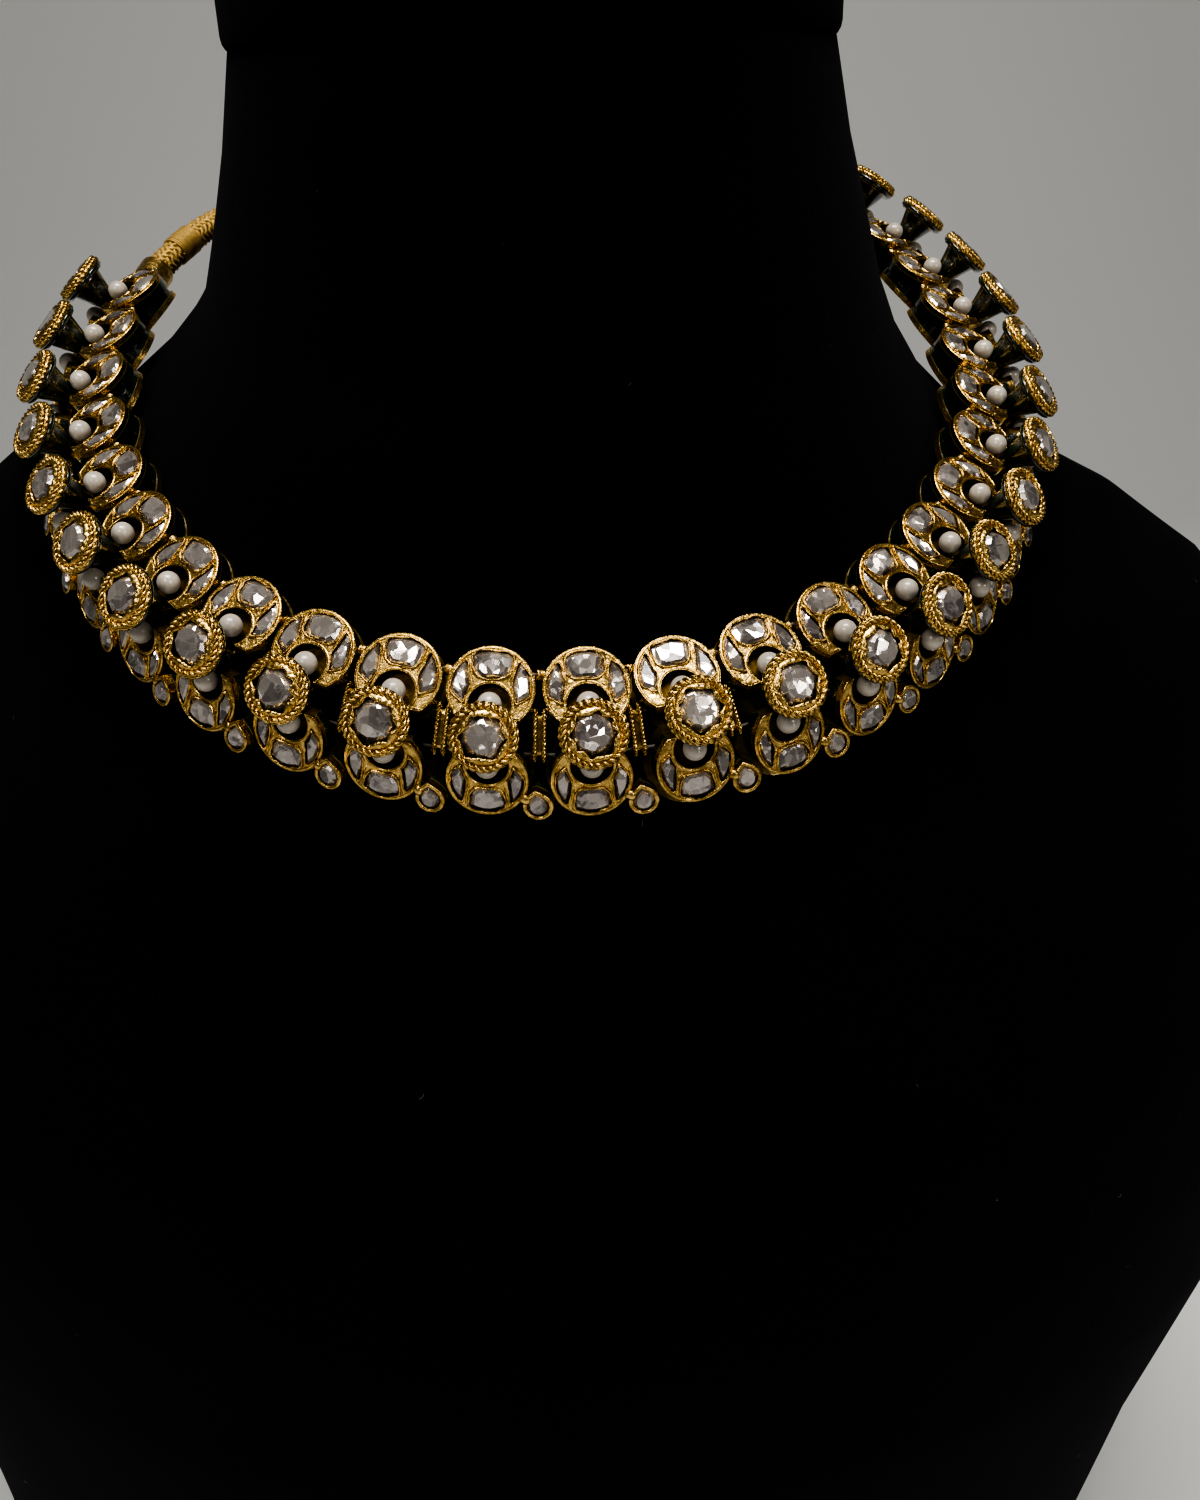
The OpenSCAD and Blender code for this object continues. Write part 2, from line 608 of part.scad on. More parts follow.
// Body rows, as shares: side, front and back depth of ring_height; half width of shoulder_half; front of
// chest_depth; back of back_depth; middle of back_depth; tilt
body_rows = [
    [0.063, 0.203, 0.052, 0.587, 0.765, 0.86, 0.08, 0.6],
    [0.085, 0.233, 0.078, 0.658, 0.805, 0.89, 0.07, 0.1],
    [0.124, 0.272, 0.115, 0.755, 0.85, 0.92, 0.05, -0.3],
    [0.174, 0.315, 0.164, 0.845, 0.9, 0.95, 0.03, -0.3],
    [0.242, 0.365, 0.234, 0.92, 0.945, 0.975, 0, -0.2],
    [0.332, 0.432, 0.329, 0.95, 0.98, 0.99, 0, -0.1],
    [0.45, 0.516, 0.45, 0.93, 1, 1, 0, 0],
    [0.61, 0.65, 0.61, 0.86, 0.975, 0.975, 0, 0.2],
    [0.8, 0.815, 0.8, 0.82, 0.92, 0.94, 0, 0.4],
    [0.97, 0.97, 0.97, 0.82, 0.87, 0.91, 0, 0.6],
    [1, 1, 1, 0.81, 0.855, 0.895, 0, 0.6]
];
bust_sections = concat(
    [for (r = neck_rows) [neck_rise * r[0], neck_rise * (r[0] - r[1]), neck_rise * (r[0] + r[2]),
        neck_radius * r[3], neck_radius * r[4], neck_radius * r[5], neck_radius * r[6], r[7]]],
    [ring_section(plate_high, 0.2 * neck_rise, 1.33 * neck_radius),
        ring_section(plate_low, -0.1 * neck_rise, 1.45 * neck_radius)],
    [for (r = body_rows) [-ring_height * r[0], -ring_height * r[1], -ring_height * r[2],
        shoulder_half * r[3], chest_depth * r[4], back_depth * r[5], back_depth * r[6], r[7]]]);
bust_sides = 60;
// The lowest section isn't turned but only moved aside with the tilt, so that the bust stands flat
function section_point(s, a) = let (point = [s[3] * sin(a),
    s[6] - cos(a) * (cos(a) > 0 ? s[6] + s[4] : s[5] - s[6]),
    s[0] + abs(cos(a)) * ((cos(a) > 0 ? s[1] : s[2]) - s[0])], tilt = ring_side_tilt * s[7])
    (s[0] > -ring_height ? turn_y(point, tilt) : point + [s[0] * sin(tilt), 0, 0]) + [0, 0, ring_height];
module loft(sections) {
    n = bust_sides;
    m = len(sections);
    points = [for (s = sections, k = [0:n - 1]) section_point(s, 360 * k / n)];
    ends = [[for (k = [0:n - 1]) k], [for (k = [n - 1:-1:0]) (m - 1) * n + k]];
    polyhedron(points, turned_over(concat(ends, walls(m - 1, n))));
}
module bust() {
    color("black") loft(bust_sections);
}

// Cap rows: height as a share of cap_height, and inset from its widest outline as a share of cap_round
cap_rows = [[1, 1], [0.93, 0.33], [0.78, 0], [0.12, 0], [0, 0.17]];
module neck_cap() {
    top = bust_sections[0];
    color("black") loft([for (r = cap_rows)
        let (z = top[0] + cap_gap + cap_height * r[0], w = cap_overhang - cap_round * r[1])
        [z, z, z, top[3] + w, top[4] + w, top[5] + w, top[6], top[7]]]);
}

for (i = [1:setting_count])
    setting(i);
stud_stones();
upper_stones();
lower_stones();
drop_stones();
upper_pearls();
lower_pearls();
spacers();
link_beads();
top_thread();
upper_thread();
lower_thread();
end_beads();
cord_end_left();
cord_end_right();
cord();
cord_slider();
bust();
neck_cap();
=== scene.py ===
import math

import bpy
import numpy as np
from mathutils import Matrix, Vector


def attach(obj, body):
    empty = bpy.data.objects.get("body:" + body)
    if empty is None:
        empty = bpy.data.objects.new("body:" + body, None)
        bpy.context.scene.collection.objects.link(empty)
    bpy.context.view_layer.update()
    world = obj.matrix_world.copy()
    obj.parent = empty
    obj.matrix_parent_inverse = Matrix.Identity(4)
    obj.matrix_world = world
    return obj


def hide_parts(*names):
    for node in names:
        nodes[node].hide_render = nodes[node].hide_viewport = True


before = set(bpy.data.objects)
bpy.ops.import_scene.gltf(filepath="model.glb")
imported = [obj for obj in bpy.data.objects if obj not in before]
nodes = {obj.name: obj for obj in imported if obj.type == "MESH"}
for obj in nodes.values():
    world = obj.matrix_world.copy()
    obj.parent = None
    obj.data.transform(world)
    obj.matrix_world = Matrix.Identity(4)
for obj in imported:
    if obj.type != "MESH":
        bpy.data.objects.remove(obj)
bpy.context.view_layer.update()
print("frame loaded,", len(nodes), "nodes")

# Sizes of the collar, in millimetres and degrees, as the solids have them.
collar = {"settings": 25, "halfWidth": 82, "halfDepth": 86, "pitch": 14.1, "slide": 23.8,
          "tilt": 25.5, "sideTilt": 2, "lean": 42, "height": 310}
crescent = {"upper": 5.85, "lower": 5.5, "reach": 6.6, "bend": 22, "notch": 2.9, "shift": 2.2,
            "horn": 4.2, "depth": 1.9, "floor": 0.6, "rim": 0.5}
stud = {"radius": 4.5, "rise": 4.85, "shift": 0.6, "height": 1.9, "seat": 3.25,
        "coneTop": 3.2, "coneFoot": 1}
drop = {"radius": 2.1, "tip": 2.6, "side": 6.9, "reach": 10.1, "proud": 0.5, "turn": 10}
back = {"drop": 8.9, "thick": 0.9, "upper": 5.6, "upperReach": 4.7, "lower": 5.8, "lowerReach": 5.4}
threads = {"half": 4.25, "depth": 4.6, "spread": 5, "shift": 0.2}
mm = 0.001
# Roll about the threads and turn in its own plane of each setting, in degrees.
looseTurns = [(4, -2), (3, -1), (4, 1), (3, 0), (1, 0), (2, 1), (2, -1), (0, 0), (4, 0), (6, 0),
              (6, 1), (3, 0), (-5, -0.5), (-4, -0.5), (0, -0.5), (2, -0.5), (-1, 0), (0, 1),
              (3, 1.5), (2, 1), (-2, 0.5), (-1, 0), (0, 0.5), (0, 1), (0, 0)]


def rad(degrees):
    return math.radians(degrees)


# The ring's arc length from its back, a value at each degree, as the solids' source steps it.
def ringTable():
    arc, total = [], 0.0
    for t in range(-180, 181):
        arc.append((total, t))
        a = rad(t + 0.5)
        sideways, forwards = collar["halfWidth"] * math.cos(a), collar["halfDepth"] * math.sin(a)
        total += math.hypot(sideways, forwards) * math.pi / 180
    return arc


ringArc = ringTable()
ringFront = ringArc[180][0]


# The angle of a setting's place on the ring, from the front.
def station(i):
    along = ringFront + collar["slide"] + (i - (collar["settings"] + 1) / 2) * collar["pitch"]
    return float(np.interp(along, [s for s, t in ringArc], [t for s, t in ringArc]))


ringFrame = (Matrix.Translation((0, 0, collar["height"])) @ Matrix.Rotation(rad(collar["sideTilt"]), 4, "Y")
             @ Matrix.Rotation(rad(collar["tilt"]), 4, "X"))


# A setting's own frame: x along the collar, y up and inwards, z out of the face.
def settingFrame(i):
    t = station(i)
    turn = math.atan2(collar["halfDepth"] * math.sin(rad(t)), collar["halfWidth"] * math.cos(rad(t)))
    lean = rad(collar["lean"])
    out = stud["shift"] * math.cos(lean) - stud["rise"] * math.sin(lean)
    up = -stud["shift"] * math.sin(lean) - stud["rise"] * math.cos(lean)
    point = Vector((collar["halfWidth"] * math.sin(rad(t)), -collar["halfDepth"] * math.cos(rad(t)), 0))
    roll, twist = (rad(a) for a in looseTurns[i - 1])
    pivot = Vector((0, -threads["shift"], -threads["depth"]))
    loose = (Matrix.Translation(pivot) @ Matrix.Rotation(twist, 4, "Z") @ Matrix.Rotation(roll, 4, "X")
             @ Matrix.Translation(-pivot))
    return (ringFrame @ Matrix.Translation(point) @ Matrix.Rotation(turn, 4, "Z")
            @ Matrix.Translation((0, -out, up)) @ Matrix.Rotation(lean, 4, "X") @ loose)


settingFrames = [settingFrame(i) for i in range(1, collar["settings"] + 1)]
upperPlane = Matrix.Rotation(-rad(crescent["bend"]), 4, "X")
lowerPlane = Matrix.Rotation(math.pi, 4, "Z") @ upperPlane


# One socket of a node tree, with Python's own arithmetic adding Math nodes.
class Wire:
    def __init__(self, graph, socket):
        self.graph, self.socket = graph, socket

    def math(self, operation, *others):
        return self.graph.add("ShaderNodeMath", {"operation": operation}, [self, *others])

    def __add__(self, other):
        return self.math("ADD", other)

    def __sub__(self, other):
        return self.math("SUBTRACT", other)

    def __mul__(self, other):
        return self.math("MULTIPLY", other)

    def __truediv__(self, other):
        return self.math("DIVIDE", other)

    def __rsub__(self, other):
        return self.graph.add("ShaderNodeMath", {"operation": "SUBTRACT"}, [other, self])

    __radd__, __rmul__ = __add__, __mul__

    def above(self, edge, soft):
        return self.graph.add("ShaderNodeMapRange", {"interpolation_type": "SMOOTHSTEP"},
                              {"Value": self, "From Min": edge - soft, "From Max": edge + soft})

    def below(self, edge, soft):
        return 1 - self.above(edge, soft)

    def output(self, name):
        return Wire(self.graph, self.socket.node.outputs[name])


# A node tree, with one method for Mix nodes and one for all others.
class Graph:
    def __init__(self, tree):
        self.tree = tree

    def add(self, kind, settings=None, values=None, out=0):
        node = self.tree.nodes.new(kind)
        for name, value in (settings or {}).items():
            setattr(node, name, value)
        pairs = values.items() if isinstance(values, dict) else enumerate(values or [])
        for name, value in pairs:
            socket = node.inputs[name]
            if isinstance(value, Wire):
                self.tree.links.new(value.socket, socket)
            else:
                socket.default_value = value
        outputs = [o for o in node.outputs if o.enabled]
        return Wire(self, node.outputs[out] if isinstance(out, str) else outputs[out]) if outputs else node

    # A Mix node's colours are its inputs 6 and 7, and its output 2.
    def mix(self, share, first, second):
        node = self.tree.nodes.new("ShaderNodeMix")
        node.data_type = "RGBA"
        for key, value in (("Factor", share), (6, first), (7, second)):
            socket = node.inputs[key]
            if isinstance(value, Wire):
                self.tree.links.new(value.socket, socket)
            else:
                socket.default_value = (*value, 1) if isinstance(value, tuple) else value
        return Wire(self, node.outputs[2])

    def vector(self, operation, *values):
        named = "Value" if operation == "DOT_PRODUCT" else "Vector"
        return self.add("ShaderNodeVectorMath", {"operation": operation}, list(values), out=named)

    def scaled(self, value, size):
        return self.add("ShaderNodeVectorMath", {"operation": "SCALE"},
                        {"Vector": value, "Scale": size}, out="Vector")


# A material: recipe(graph) gives the linked values, and the constants are set on the shader itself.
def material(name, recipe, constants):
    made = bpy.data.materials.new(name)
    made.use_nodes = True
    tree = made.node_tree
    tree.nodes.clear()
    graph = Graph(tree)
    shader = tree.nodes.new("ShaderNodeBsdfPrincipled")
    end = tree.nodes.new("ShaderNodeOutputMaterial")
    tree.links.new(shader.outputs["BSDF"], end.inputs["Surface"])
    for socket, value in constants.items():
        shader.inputs[socket].default_value = value
    for socket, value in recipe(graph).items():
        tree.links.new(value.socket, shader.inputs[socket])
    return made


def place(graph):
    return graph.add("ShaderNodeTexCoord", out="Object")


def noise(graph, where, scale, detail=2.0, rough=0.5):
    return graph.add("ShaderNodeTexNoise", {},
                     {"Vector": where, "Scale": scale, "Detail": detail, "Roughness": rough})


def cells(graph, where, scale, feature="F1", out="Distance"):
    return graph.add("ShaderNodeTexVoronoi", {"feature": feature}, {"Vector": where, "Scale": scale}, out=out)


def bump(graph, height, strength, distance):
    return graph.add("ShaderNodeBump", {}, {"Height": height, "Strength": strength, "Distance": distance})


gold = {"bright": (0.70, 0.48, 0.17), "deep": (0.24, 0.15, 0.035), "recessShade": (0.05, 0.028, 0.006),
        "green": (0.0012, 0.010, 0.005), "worn": (0.20, 0.11, 0.02), "hammer": 1150, "fine": 3600,
        "crinkleShade": 0.75, "rough": 0.16, "uneven": 0.2, "relief": 0.75, "dent": 0.0002}


def goldSurface(graph, where):
    broad = noise(graph, where, gold["hammer"], 3)
    fine = noise(graph, where, gold["fine"], 2)
    # Painted highlight and shade: the gold is mixed from bright to deep across the hammered relief, standing
    # in for the crinkled gold's reflections.
    tone = graph.mix(broad.above(0.5, 0.16) * gold["crinkleShade"], gold["bright"], gold["deep"])
    normal = bump(graph, broad * 0.7 + fine * 0.3, gold["relief"], gold["dent"])
    return tone, gold["rough"] + broad * gold["uneven"], normal


def goldTrimRecipe(graph):
    tone, rough, normal = goldSurface(graph, place(graph))
    return {"Base Color": tone, "Roughness": rough, "Normal": normal}


# Where the enamel and the painted shade of the recesses begin, in millimetres from the edges of the solid,
# with the softness of most of these edges, the strengths of the painted shade and the scale of the rubbed
# spots.
mask = {"soft": 0.05, "coneBelow": 0.5, "coneSide": 0.14, "coneTop": 0.06, "bezelTop": 1.0, "wallIn": 0.08,
        "wallTop": 0.85, "cell": 0.35, "seatFoot": 1.4, "seatTop": 0.3, "cellShade": 0.5, "notch": 0.45,
        "rubbed": 1400}


def settingVector(graph, name):
    settings = {"attribute_type": "OBJECT", "attribute_name": name}
    return graph.add("ShaderNodeAttribute", settings, out="Vector")


def radial(x, y):
    return (x * x + y * y).math("SQRT")


# The solids of the settings carry their own frame as properties, so that one material finds the cone,
# the feet and the cells.
def settingRecipe(graph):
    where, soft = place(graph), mask["soft"]
    offset = graph.vector("SUBTRACT", where, settingVector(graph, "settingPlace"))
    x, y, z = (graph.vector("DOT_PRODUCT", offset, settingVector(graph, name)) / mm
               for name in ("settingAlong", "settingUp", "settingOut"))
    bend, away = rad(crescent["bend"]), y.math("ABSOLUTE")
    height = away * math.sin(bend) + z * math.cos(bend)
    reach = away * math.cos(bend) - z * math.sin(bend) - crescent["reach"]
    onAxis = radial(x, y - stud["shift"])
    base = -crescent["depth"] - crescent["floor"]
    coneStart, bezelFoot = base - mask["coneBelow"], stud["rise"] - stud["height"]
    slope = (stud["coneTop"] - stud["coneFoot"]) / (bezelFoot - coneStart)
    pastCone = onAxis - (z - coneStart) * slope - stud["coneFoot"]
    cone = pastCone.below(mask["coneSide"], 0.04) * z.below(bezelFoot - mask["coneTop"], 0.04)
    under = onAxis.above(stud["seat"] + 0.1, soft) * z.below(stud["rise"] - mask["bezelTop"], 0.06)
    under = under * z.above(bezelFoot - 0.1, soft) * onAxis.below(stud["radius"] + 0.1, soft)
    cone = cone.math("MAXIMUM", under)
    overBack = z.above(-back["drop"] + back["thick"], soft)
    feet = height.below(base + 0.1, soft) * overBack
    radius = crescent["lower"] + y.above(0, 0.1) * (crescent["upper"] - crescent["lower"])
    outside = (radial(x, reach) - radius).above(-mask["wallIn"], 0.03)
    wall = outside * height.below(-mask["wallTop"], 0.12) * overBack
    enamel = cone.math("MAXIMUM", feet).math("MAXIMUM", wall)
    inCrescent = height.above(-crescent["depth"] - 0.2, 0.1) * (1 - cone)
    inNotch = radial(x, reach + crescent["shift"]).below(crescent["notch"] + 0.06, soft)
    # Painted shade: the cells' walls and floors, the notch and the floor of the stud's seat are darkened
    # towards a dark gold, as shade falls in them.
    inside = height.below(-mask["cell"], mask["cell"]) * inCrescent * (1 - outside)
    cellShade = inside * mask["cellShade"] + inNotch * inside * mask["notch"]
    seat = onAxis.below(stud["seat"] - 0.02, 0.03) * z.above(stud["rise"] - mask["seatFoot"], 0.1)
    dark = cellShade.math("MAXIMUM", seat * z.below(stud["rise"] - mask["seatTop"], 0.2))
    tone, rough, normal = goldSurface(graph, where)
    shaded = graph.mix(dark, tone, gold["recessShade"])
    rubbed = noise(graph, where, mask["rubbed"], 3).above(0.66, 0.05) * 0.25
    green = graph.mix(rubbed, gold["green"], gold["worn"])
    return {"Base Color": graph.mix(enamel, shaded, green), "Metallic": 1 - enamel,
            "Roughness": rough + dark * 0.25 - enamel * 0.1, "Coat Weight": enamel * 0.9, "Normal": normal}


stone = {"light": (0.74, 0.67, 0.61), "shade": (0.27, 0.235, 0.225), "edge": (0.92, 0.89, 0.87),
         "downShade": (0.13, 0.11, 0.105), "facet": 430, "small": 2.3, "tilt": 0.42, "loops": 460,
         "warp": 500.0, "warpBy": 0.0006, "facetLine": 0.03, "loopLine": 0.012}


def stoneRecipe(graph):
    where = place(graph)
    warp = graph.add("ShaderNodeTexNoise", {}, {"Vector": where, "Scale": stone["warp"]}, out="Color")
    bent = graph.vector("ADD", where, graph.scaled(warp, stone["warpBy"]))
    tints = cells(graph, bent, stone["facet"], out="Color")
    edges = cells(graph, bent, stone["facet"], "DISTANCE_TO_EDGE")
    small = cells(graph, bent, stone["facet"] * stone["small"], out="Color")
    grey = graph.add("ShaderNodeSeparateColor", {}, [tints], out="Red")
    second = graph.add("ShaderNodeSeparateColor", {}, [small], out="Green")
    # Painted reflections: the facets' tones between light and shade, the pale lines along the facet edges and
    # the pale loops stand in for the foil and the table edges reflected in the stone.
    tone = graph.mix((grey * 0.7 + second * 0.3).above(0.55, 0.35), stone["light"], stone["shade"])
    loops = (noise(graph, where, stone["loops"], 1) - 0.5).math("ABSOLUTE")
    paintedReflections = edges.below(stone["facetLine"], stone["facetLine"]) * 0.3
    paintedReflections = paintedReflections.math("MAXIMUM", loops.below(stone["loopLine"], stone["loopLine"]) * 0.6)
    # Painted shade: faces that turn down are darkened towards a dark colour, as the light falls from above.
    face = graph.add("ShaderNodeNewGeometry", out="Normal")
    upward = graph.vector("DOT_PRODUCT", face, (0.0, 0.0, 1.0)).above(0.25, 0.3)
    shadedDown = graph.mix((1 - upward) * 0.6, graph.mix(paintedReflections, tone, stone["edge"]), stone["downShade"])
    leans = [graph.scaled(graph.vector("SUBTRACT", tint, (0.5, 0.5, 0.5)), stone["tilt"] * part)
             for tint, part in ((tints, 1), (small, 0.5))]
    tipped = graph.vector("NORMALIZE", graph.vector("ADD", face, graph.vector("ADD", *leans)))
    return {"Base Color": shadedDown, "Roughness": 0.08 + second * 0.2, "Normal": tipped}


pearl = {"cream": (0.50, 0.45, 0.38), "grey": (0.28, 0.25, 0.23), "cloud": 420, "skin": 1500}


def pearlRecipe(graph):
    where = place(graph)
    cloud = noise(graph, where, pearl["cloud"], 3)
    return {"Base Color": graph.mix(cloud.above(0.55, 0.2) * 0.6, pearl["cream"], pearl["grey"]),
            "Roughness": 0.22 + cloud * 0.15,
            "Normal": bump(graph, noise(graph, where, pearl["skin"]), 0.15, 0.0001)}


thread = {"white": (0.22, 0.20, 0.17), "shade": (0.10, 0.08, 0.05), "twist": 3600}


def threadRecipe(graph):
    twist = noise(graph, place(graph), thread["twist"], 3, 0.7)
    return {"Base Color": graph.mix(twist, thread["shade"], thread["white"]), "Roughness": 0.6 + twist * 0.3,
            "Normal": bump(graph, twist, 0.8, 0.0001)}


glaze = {"pale": (0.01, 0.05, 0.024), "mottle": 900}


def enamelRecipe(graph):
    mottled = noise(graph, place(graph), glaze["mottle"], 3)
    return {"Base Color": graph.mix(mottled.above(0.62, 0.1), gold["green"], glaze["pale"]),
            "Roughness": 0.1 + mottled * 0.15, "Normal": bump(graph, mottled, 0.2, 0.0001)}


zari = {"gold": (0.74, 0.50, 0.14), "shade": (0.22, 0.12, 0.025), "strand": 5200, "patch": 500}


def zariRecipe(graph):
    where = place(graph)
    strand = noise(graph, where, zari["strand"], 3, 0.7)
    patch = noise(graph, where, zari["patch"], 2)
    return {"Base Color": graph.mix(strand * 0.6 + patch * 0.35, zari["gold"], zari["shade"]),
            "Metallic": 0.75 - patch * 0.3, "Roughness": 0.3 + strand * 0.3,
            "Normal": bump(graph, strand, 0.9, 0.00012)}


velvet = {"black": (0.0008, 0.0008, 0.0010), "pileSheen": (0.0022, 0.0021, 0.0026), "pile": 2600, "brushed": 22}


def velvetRecipe(graph):
    where = place(graph)
    pile = noise(graph, where, velvet["pile"], 3, 0.7)
    brushed = noise(graph, where, velvet["brushed"], 4, 0.55)
    # The fine pile speckle is the cloth's own; the lighter bluish patches across the brushed pile are painted
    # sheen.
    tint = brushed.above(0.55, 0.2) * 0.7 + pile * 0.3
    return {"Base Color": graph.mix(tint, velvet["black"], velvet["pileSheen"]), "Roughness": 0.75 + pile * 0.25,
            "Normal": bump(graph, pile * 0.8 + brushed * 0.2, 0.8, 0.0004)}


fluff = {"dark": (0.03, 0.03, 0.035), "pale": (0.14, 0.14, 0.15), "speck": 300}


def lintRecipe(graph):
    speck = noise(graph, place(graph), fluff["speck"], 1)
    return {"Base Color": graph.mix(speck, fluff["dark"], fluff["pale"]), "Roughness": 0.8 + speck * 0.1}


goldTrim = material("goldTrim", goldTrimRecipe, {"Metallic": 1.0})
settingGold = material("settingGold", settingRecipe, {"Coat Roughness": 0.08})
kundanStone = material("kundanStone", stoneRecipe,
                       {"Metallic": 0.82, "Coat Weight": 0.8, "Coat Roughness": 0.03, "IOR": 1.6})
creamPearl = material("creamPearl", pearlRecipe,
                      {"Coat Weight": 0.6, "Coat Roughness": 0.15, "Sheen Weight": 0.2})
whiteThread = material("whiteThread", threadRecipe, {"Sheen Weight": 0.4})
greenEnamel = material("greenEnamel", enamelRecipe, {"Coat Weight": 1.0, "Coat Roughness": 0.06})
zariThread = material("zariThread", zariRecipe, {"Sheen Weight": 0.1})
blackVelvet = material("blackVelvet", velvetRecipe,
                       {"Sheen Weight": 0.03, "Sheen Roughness": 0.4, "Specular IOR Level": 0.05,
                        "Sheen Tint": (0.8, 0.8, 0.95, 1)})
lintFibre = material("lintFibre", lintRecipe, {"Sheen Weight": 0.3})
print("materials made")

for i, matrix in enumerate(settingFrames):
    node = nodes["setting_%02d" % (i + 1)]
    along, up, out = (matrix.to_3x3() @ Vector(v) for v in ((1, 0, 0), (0, 1, 0), (0, 0, 1)))
    node["settingPlace"] = [v * mm for v in matrix.translation]
    node["settingAlong"], node["settingUp"], node["settingOut"] = list(along), list(up), list(out)
finishes = {"stones": kundanStone, "pearls": creamPearl, "thread": whiteThread, "setting": settingGold,
            "end_beads": greenEnamel, "bust": blackVelvet, "neck_cap": blackVelvet}
for name, node in nodes.items():
    chosen = [paint for word, paint in finishes.items() if word in name] or [goldTrim]
    node.data.materials.clear()
    node.data.materials.append(chosen[0])


# A plain mesh object from lists, in metres.
def meshObject(name, points, faces, edges=(), smooth=True):
    mesh = bpy.data.meshes.new(name)
    mesh.from_pydata([tuple(p) for p in points], [tuple(e) for e in edges], [tuple(f) for f in faces])
    mesh.update()
    mesh.shade_smooth() if smooth else mesh.shade_flat()
    made = bpy.data.objects.new(name, mesh)
    bpy.context.scene.collection.objects.link(made)
    return made


# Applies what the modifiers make, and leaves a plain mesh.
def settle(thing):
    graph = bpy.context.evaluated_depsgraph_get()
    mesh = bpy.data.meshes.new_from_object(thing.evaluated_get(graph), preserve_all_data_layers=True,
                                           depsgraph=graph)
    thing.modifiers.clear()
    thing.data = mesh
    return thing


def nodeTree(name, inputs):
    tree = bpy.data.node_groups.new(name, "GeometryNodeTree")
    tree.interface.new_socket("Geometry", in_out="INPUT", socket_type="NodeSocketGeometry")
    for label, kind in inputs:
        tree.interface.new_socket(label, in_out="INPUT", socket_type="NodeSocket" + kind)
    tree.interface.new_socket("Geometry", in_out="OUTPUT", socket_type="NodeSocketGeometry")
    graph = Graph(tree)
    start = tree.nodes.new("NodeGroupInput")
    ins = {s.name: Wire(graph, s) for s in start.outputs if s.name}
    return graph, ins


def finishTree(graph, geometry, paint):
    solid = graph.add("GeometryNodeRealizeInstances", {}, [geometry])
    painted = graph.add("GeometryNodeSetMaterial", {}, {"Geometry": solid, "Material": paint})
    graph.add("NodeGroupOutput", {}, [painted])
    return graph.tree


def useTree(thing, tree, values):
    modifier = thing.modifiers.new(tree.name, "NODES")
    modifier.node_group = tree
    for item in tree.interface.items_tree:
        if item.in_out == "INPUT" and item.name in values:
            modifier[item.identifier] = values[item.name]
    return settle(thing)


# Puts one piece on each point of a mesh, turned as the point's own attribute says.
def placeTree():
    graph, ins = nodeTree("placeOnCollar", [("Piece", "Object"), ("Size", "Float"), ("Material", "Material")])
    piece = graph.add("GeometryNodeObjectInfo", {}, {"Object": ins["Piece"]}, out="Geometry")
    turn = graph.add("GeometryNodeInputNamedAttribute", {"data_type": "QUATERNION"}, {"Name": "turn"},
                     out="Attribute")
    spread = graph.add("GeometryNodeInstanceOnPoints", {},
                       {"Points": ins["Geometry"], "Instance": piece, "Rotation": turn, "Scale": ins["Size"]})
    return finishTree(graph, spread, ins["Material"])


# Winds strands round a path: twisted wire, or an even number of strands braided over and under.
def windTree():
    graph, ins = nodeTree("windStrands", [
        ("Strands", "Int"), ("Wire radius", "Float"), ("Wind radius", "Float"), ("Turns", "Float"),
        ("Steps", "Int"), ("Sides", "Int"), ("Braid", "Float"), ("Weave", "Float"), ("Material", "Material")])
    path = graph.add("GeometryNodeMeshToCurve", {}, [ins["Geometry"]])
    even = graph.add("GeometryNodeResampleCurve", {}, {"Curve": path, "Count": ins["Steps"]})
    copies = graph.add("GeometryNodeDuplicateElements", {"domain": "SPLINE"},
                       {"Geometry": even, "Amount": ins["Strands"]})
    index = copies.output("Duplicate Index")
    odd = index.math("MODULO", 2.0) * ins["Braid"]
    side = 1 - odd * 2
    around = graph.add("GeometryNodeSplineParameter", {}, out="Factor") * ins["Turns"] * (2 * math.pi)
    angle = around * side + (index - odd) / ins["Strands"] * (2 * math.pi)
    crossing = (around * ins["Strands"] * 0.5).math("COSINE") * side * ins["Braid"] * ins["Weave"]
    reach = ins["Wind radius"] + crossing
    normal = graph.add("GeometryNodeInputNormal", {}, out="Normal")
    tangent = graph.add("GeometryNodeInputTangent", {}, out="Tangent")
    other = graph.vector("CROSS_PRODUCT", tangent, normal)
    offset = graph.vector("ADD", graph.scaled(normal, angle.math("COSINE") * reach),
                          graph.scaled(other, angle.math("SINE") * reach))
    moved = graph.add("GeometryNodeSetPosition", {}, {"Geometry": copies, "Offset": offset})
    ring = graph.add("GeometryNodeCurvePrimitiveCircle", {"mode": "RADIUS"},
                     {"Resolution": ins["Sides"], "Radius": ins["Wire radius"]})
    tube = graph.add("GeometryNodeCurveToMesh", {},
                     {"Curve": moved, "Profile Curve": ring, "Fill Caps": True})
    soft = graph.add("GeometryNodeSetShadeSmooth", {}, {"Geometry": tube})
    return finishTree(graph, soft, ins["Material"])


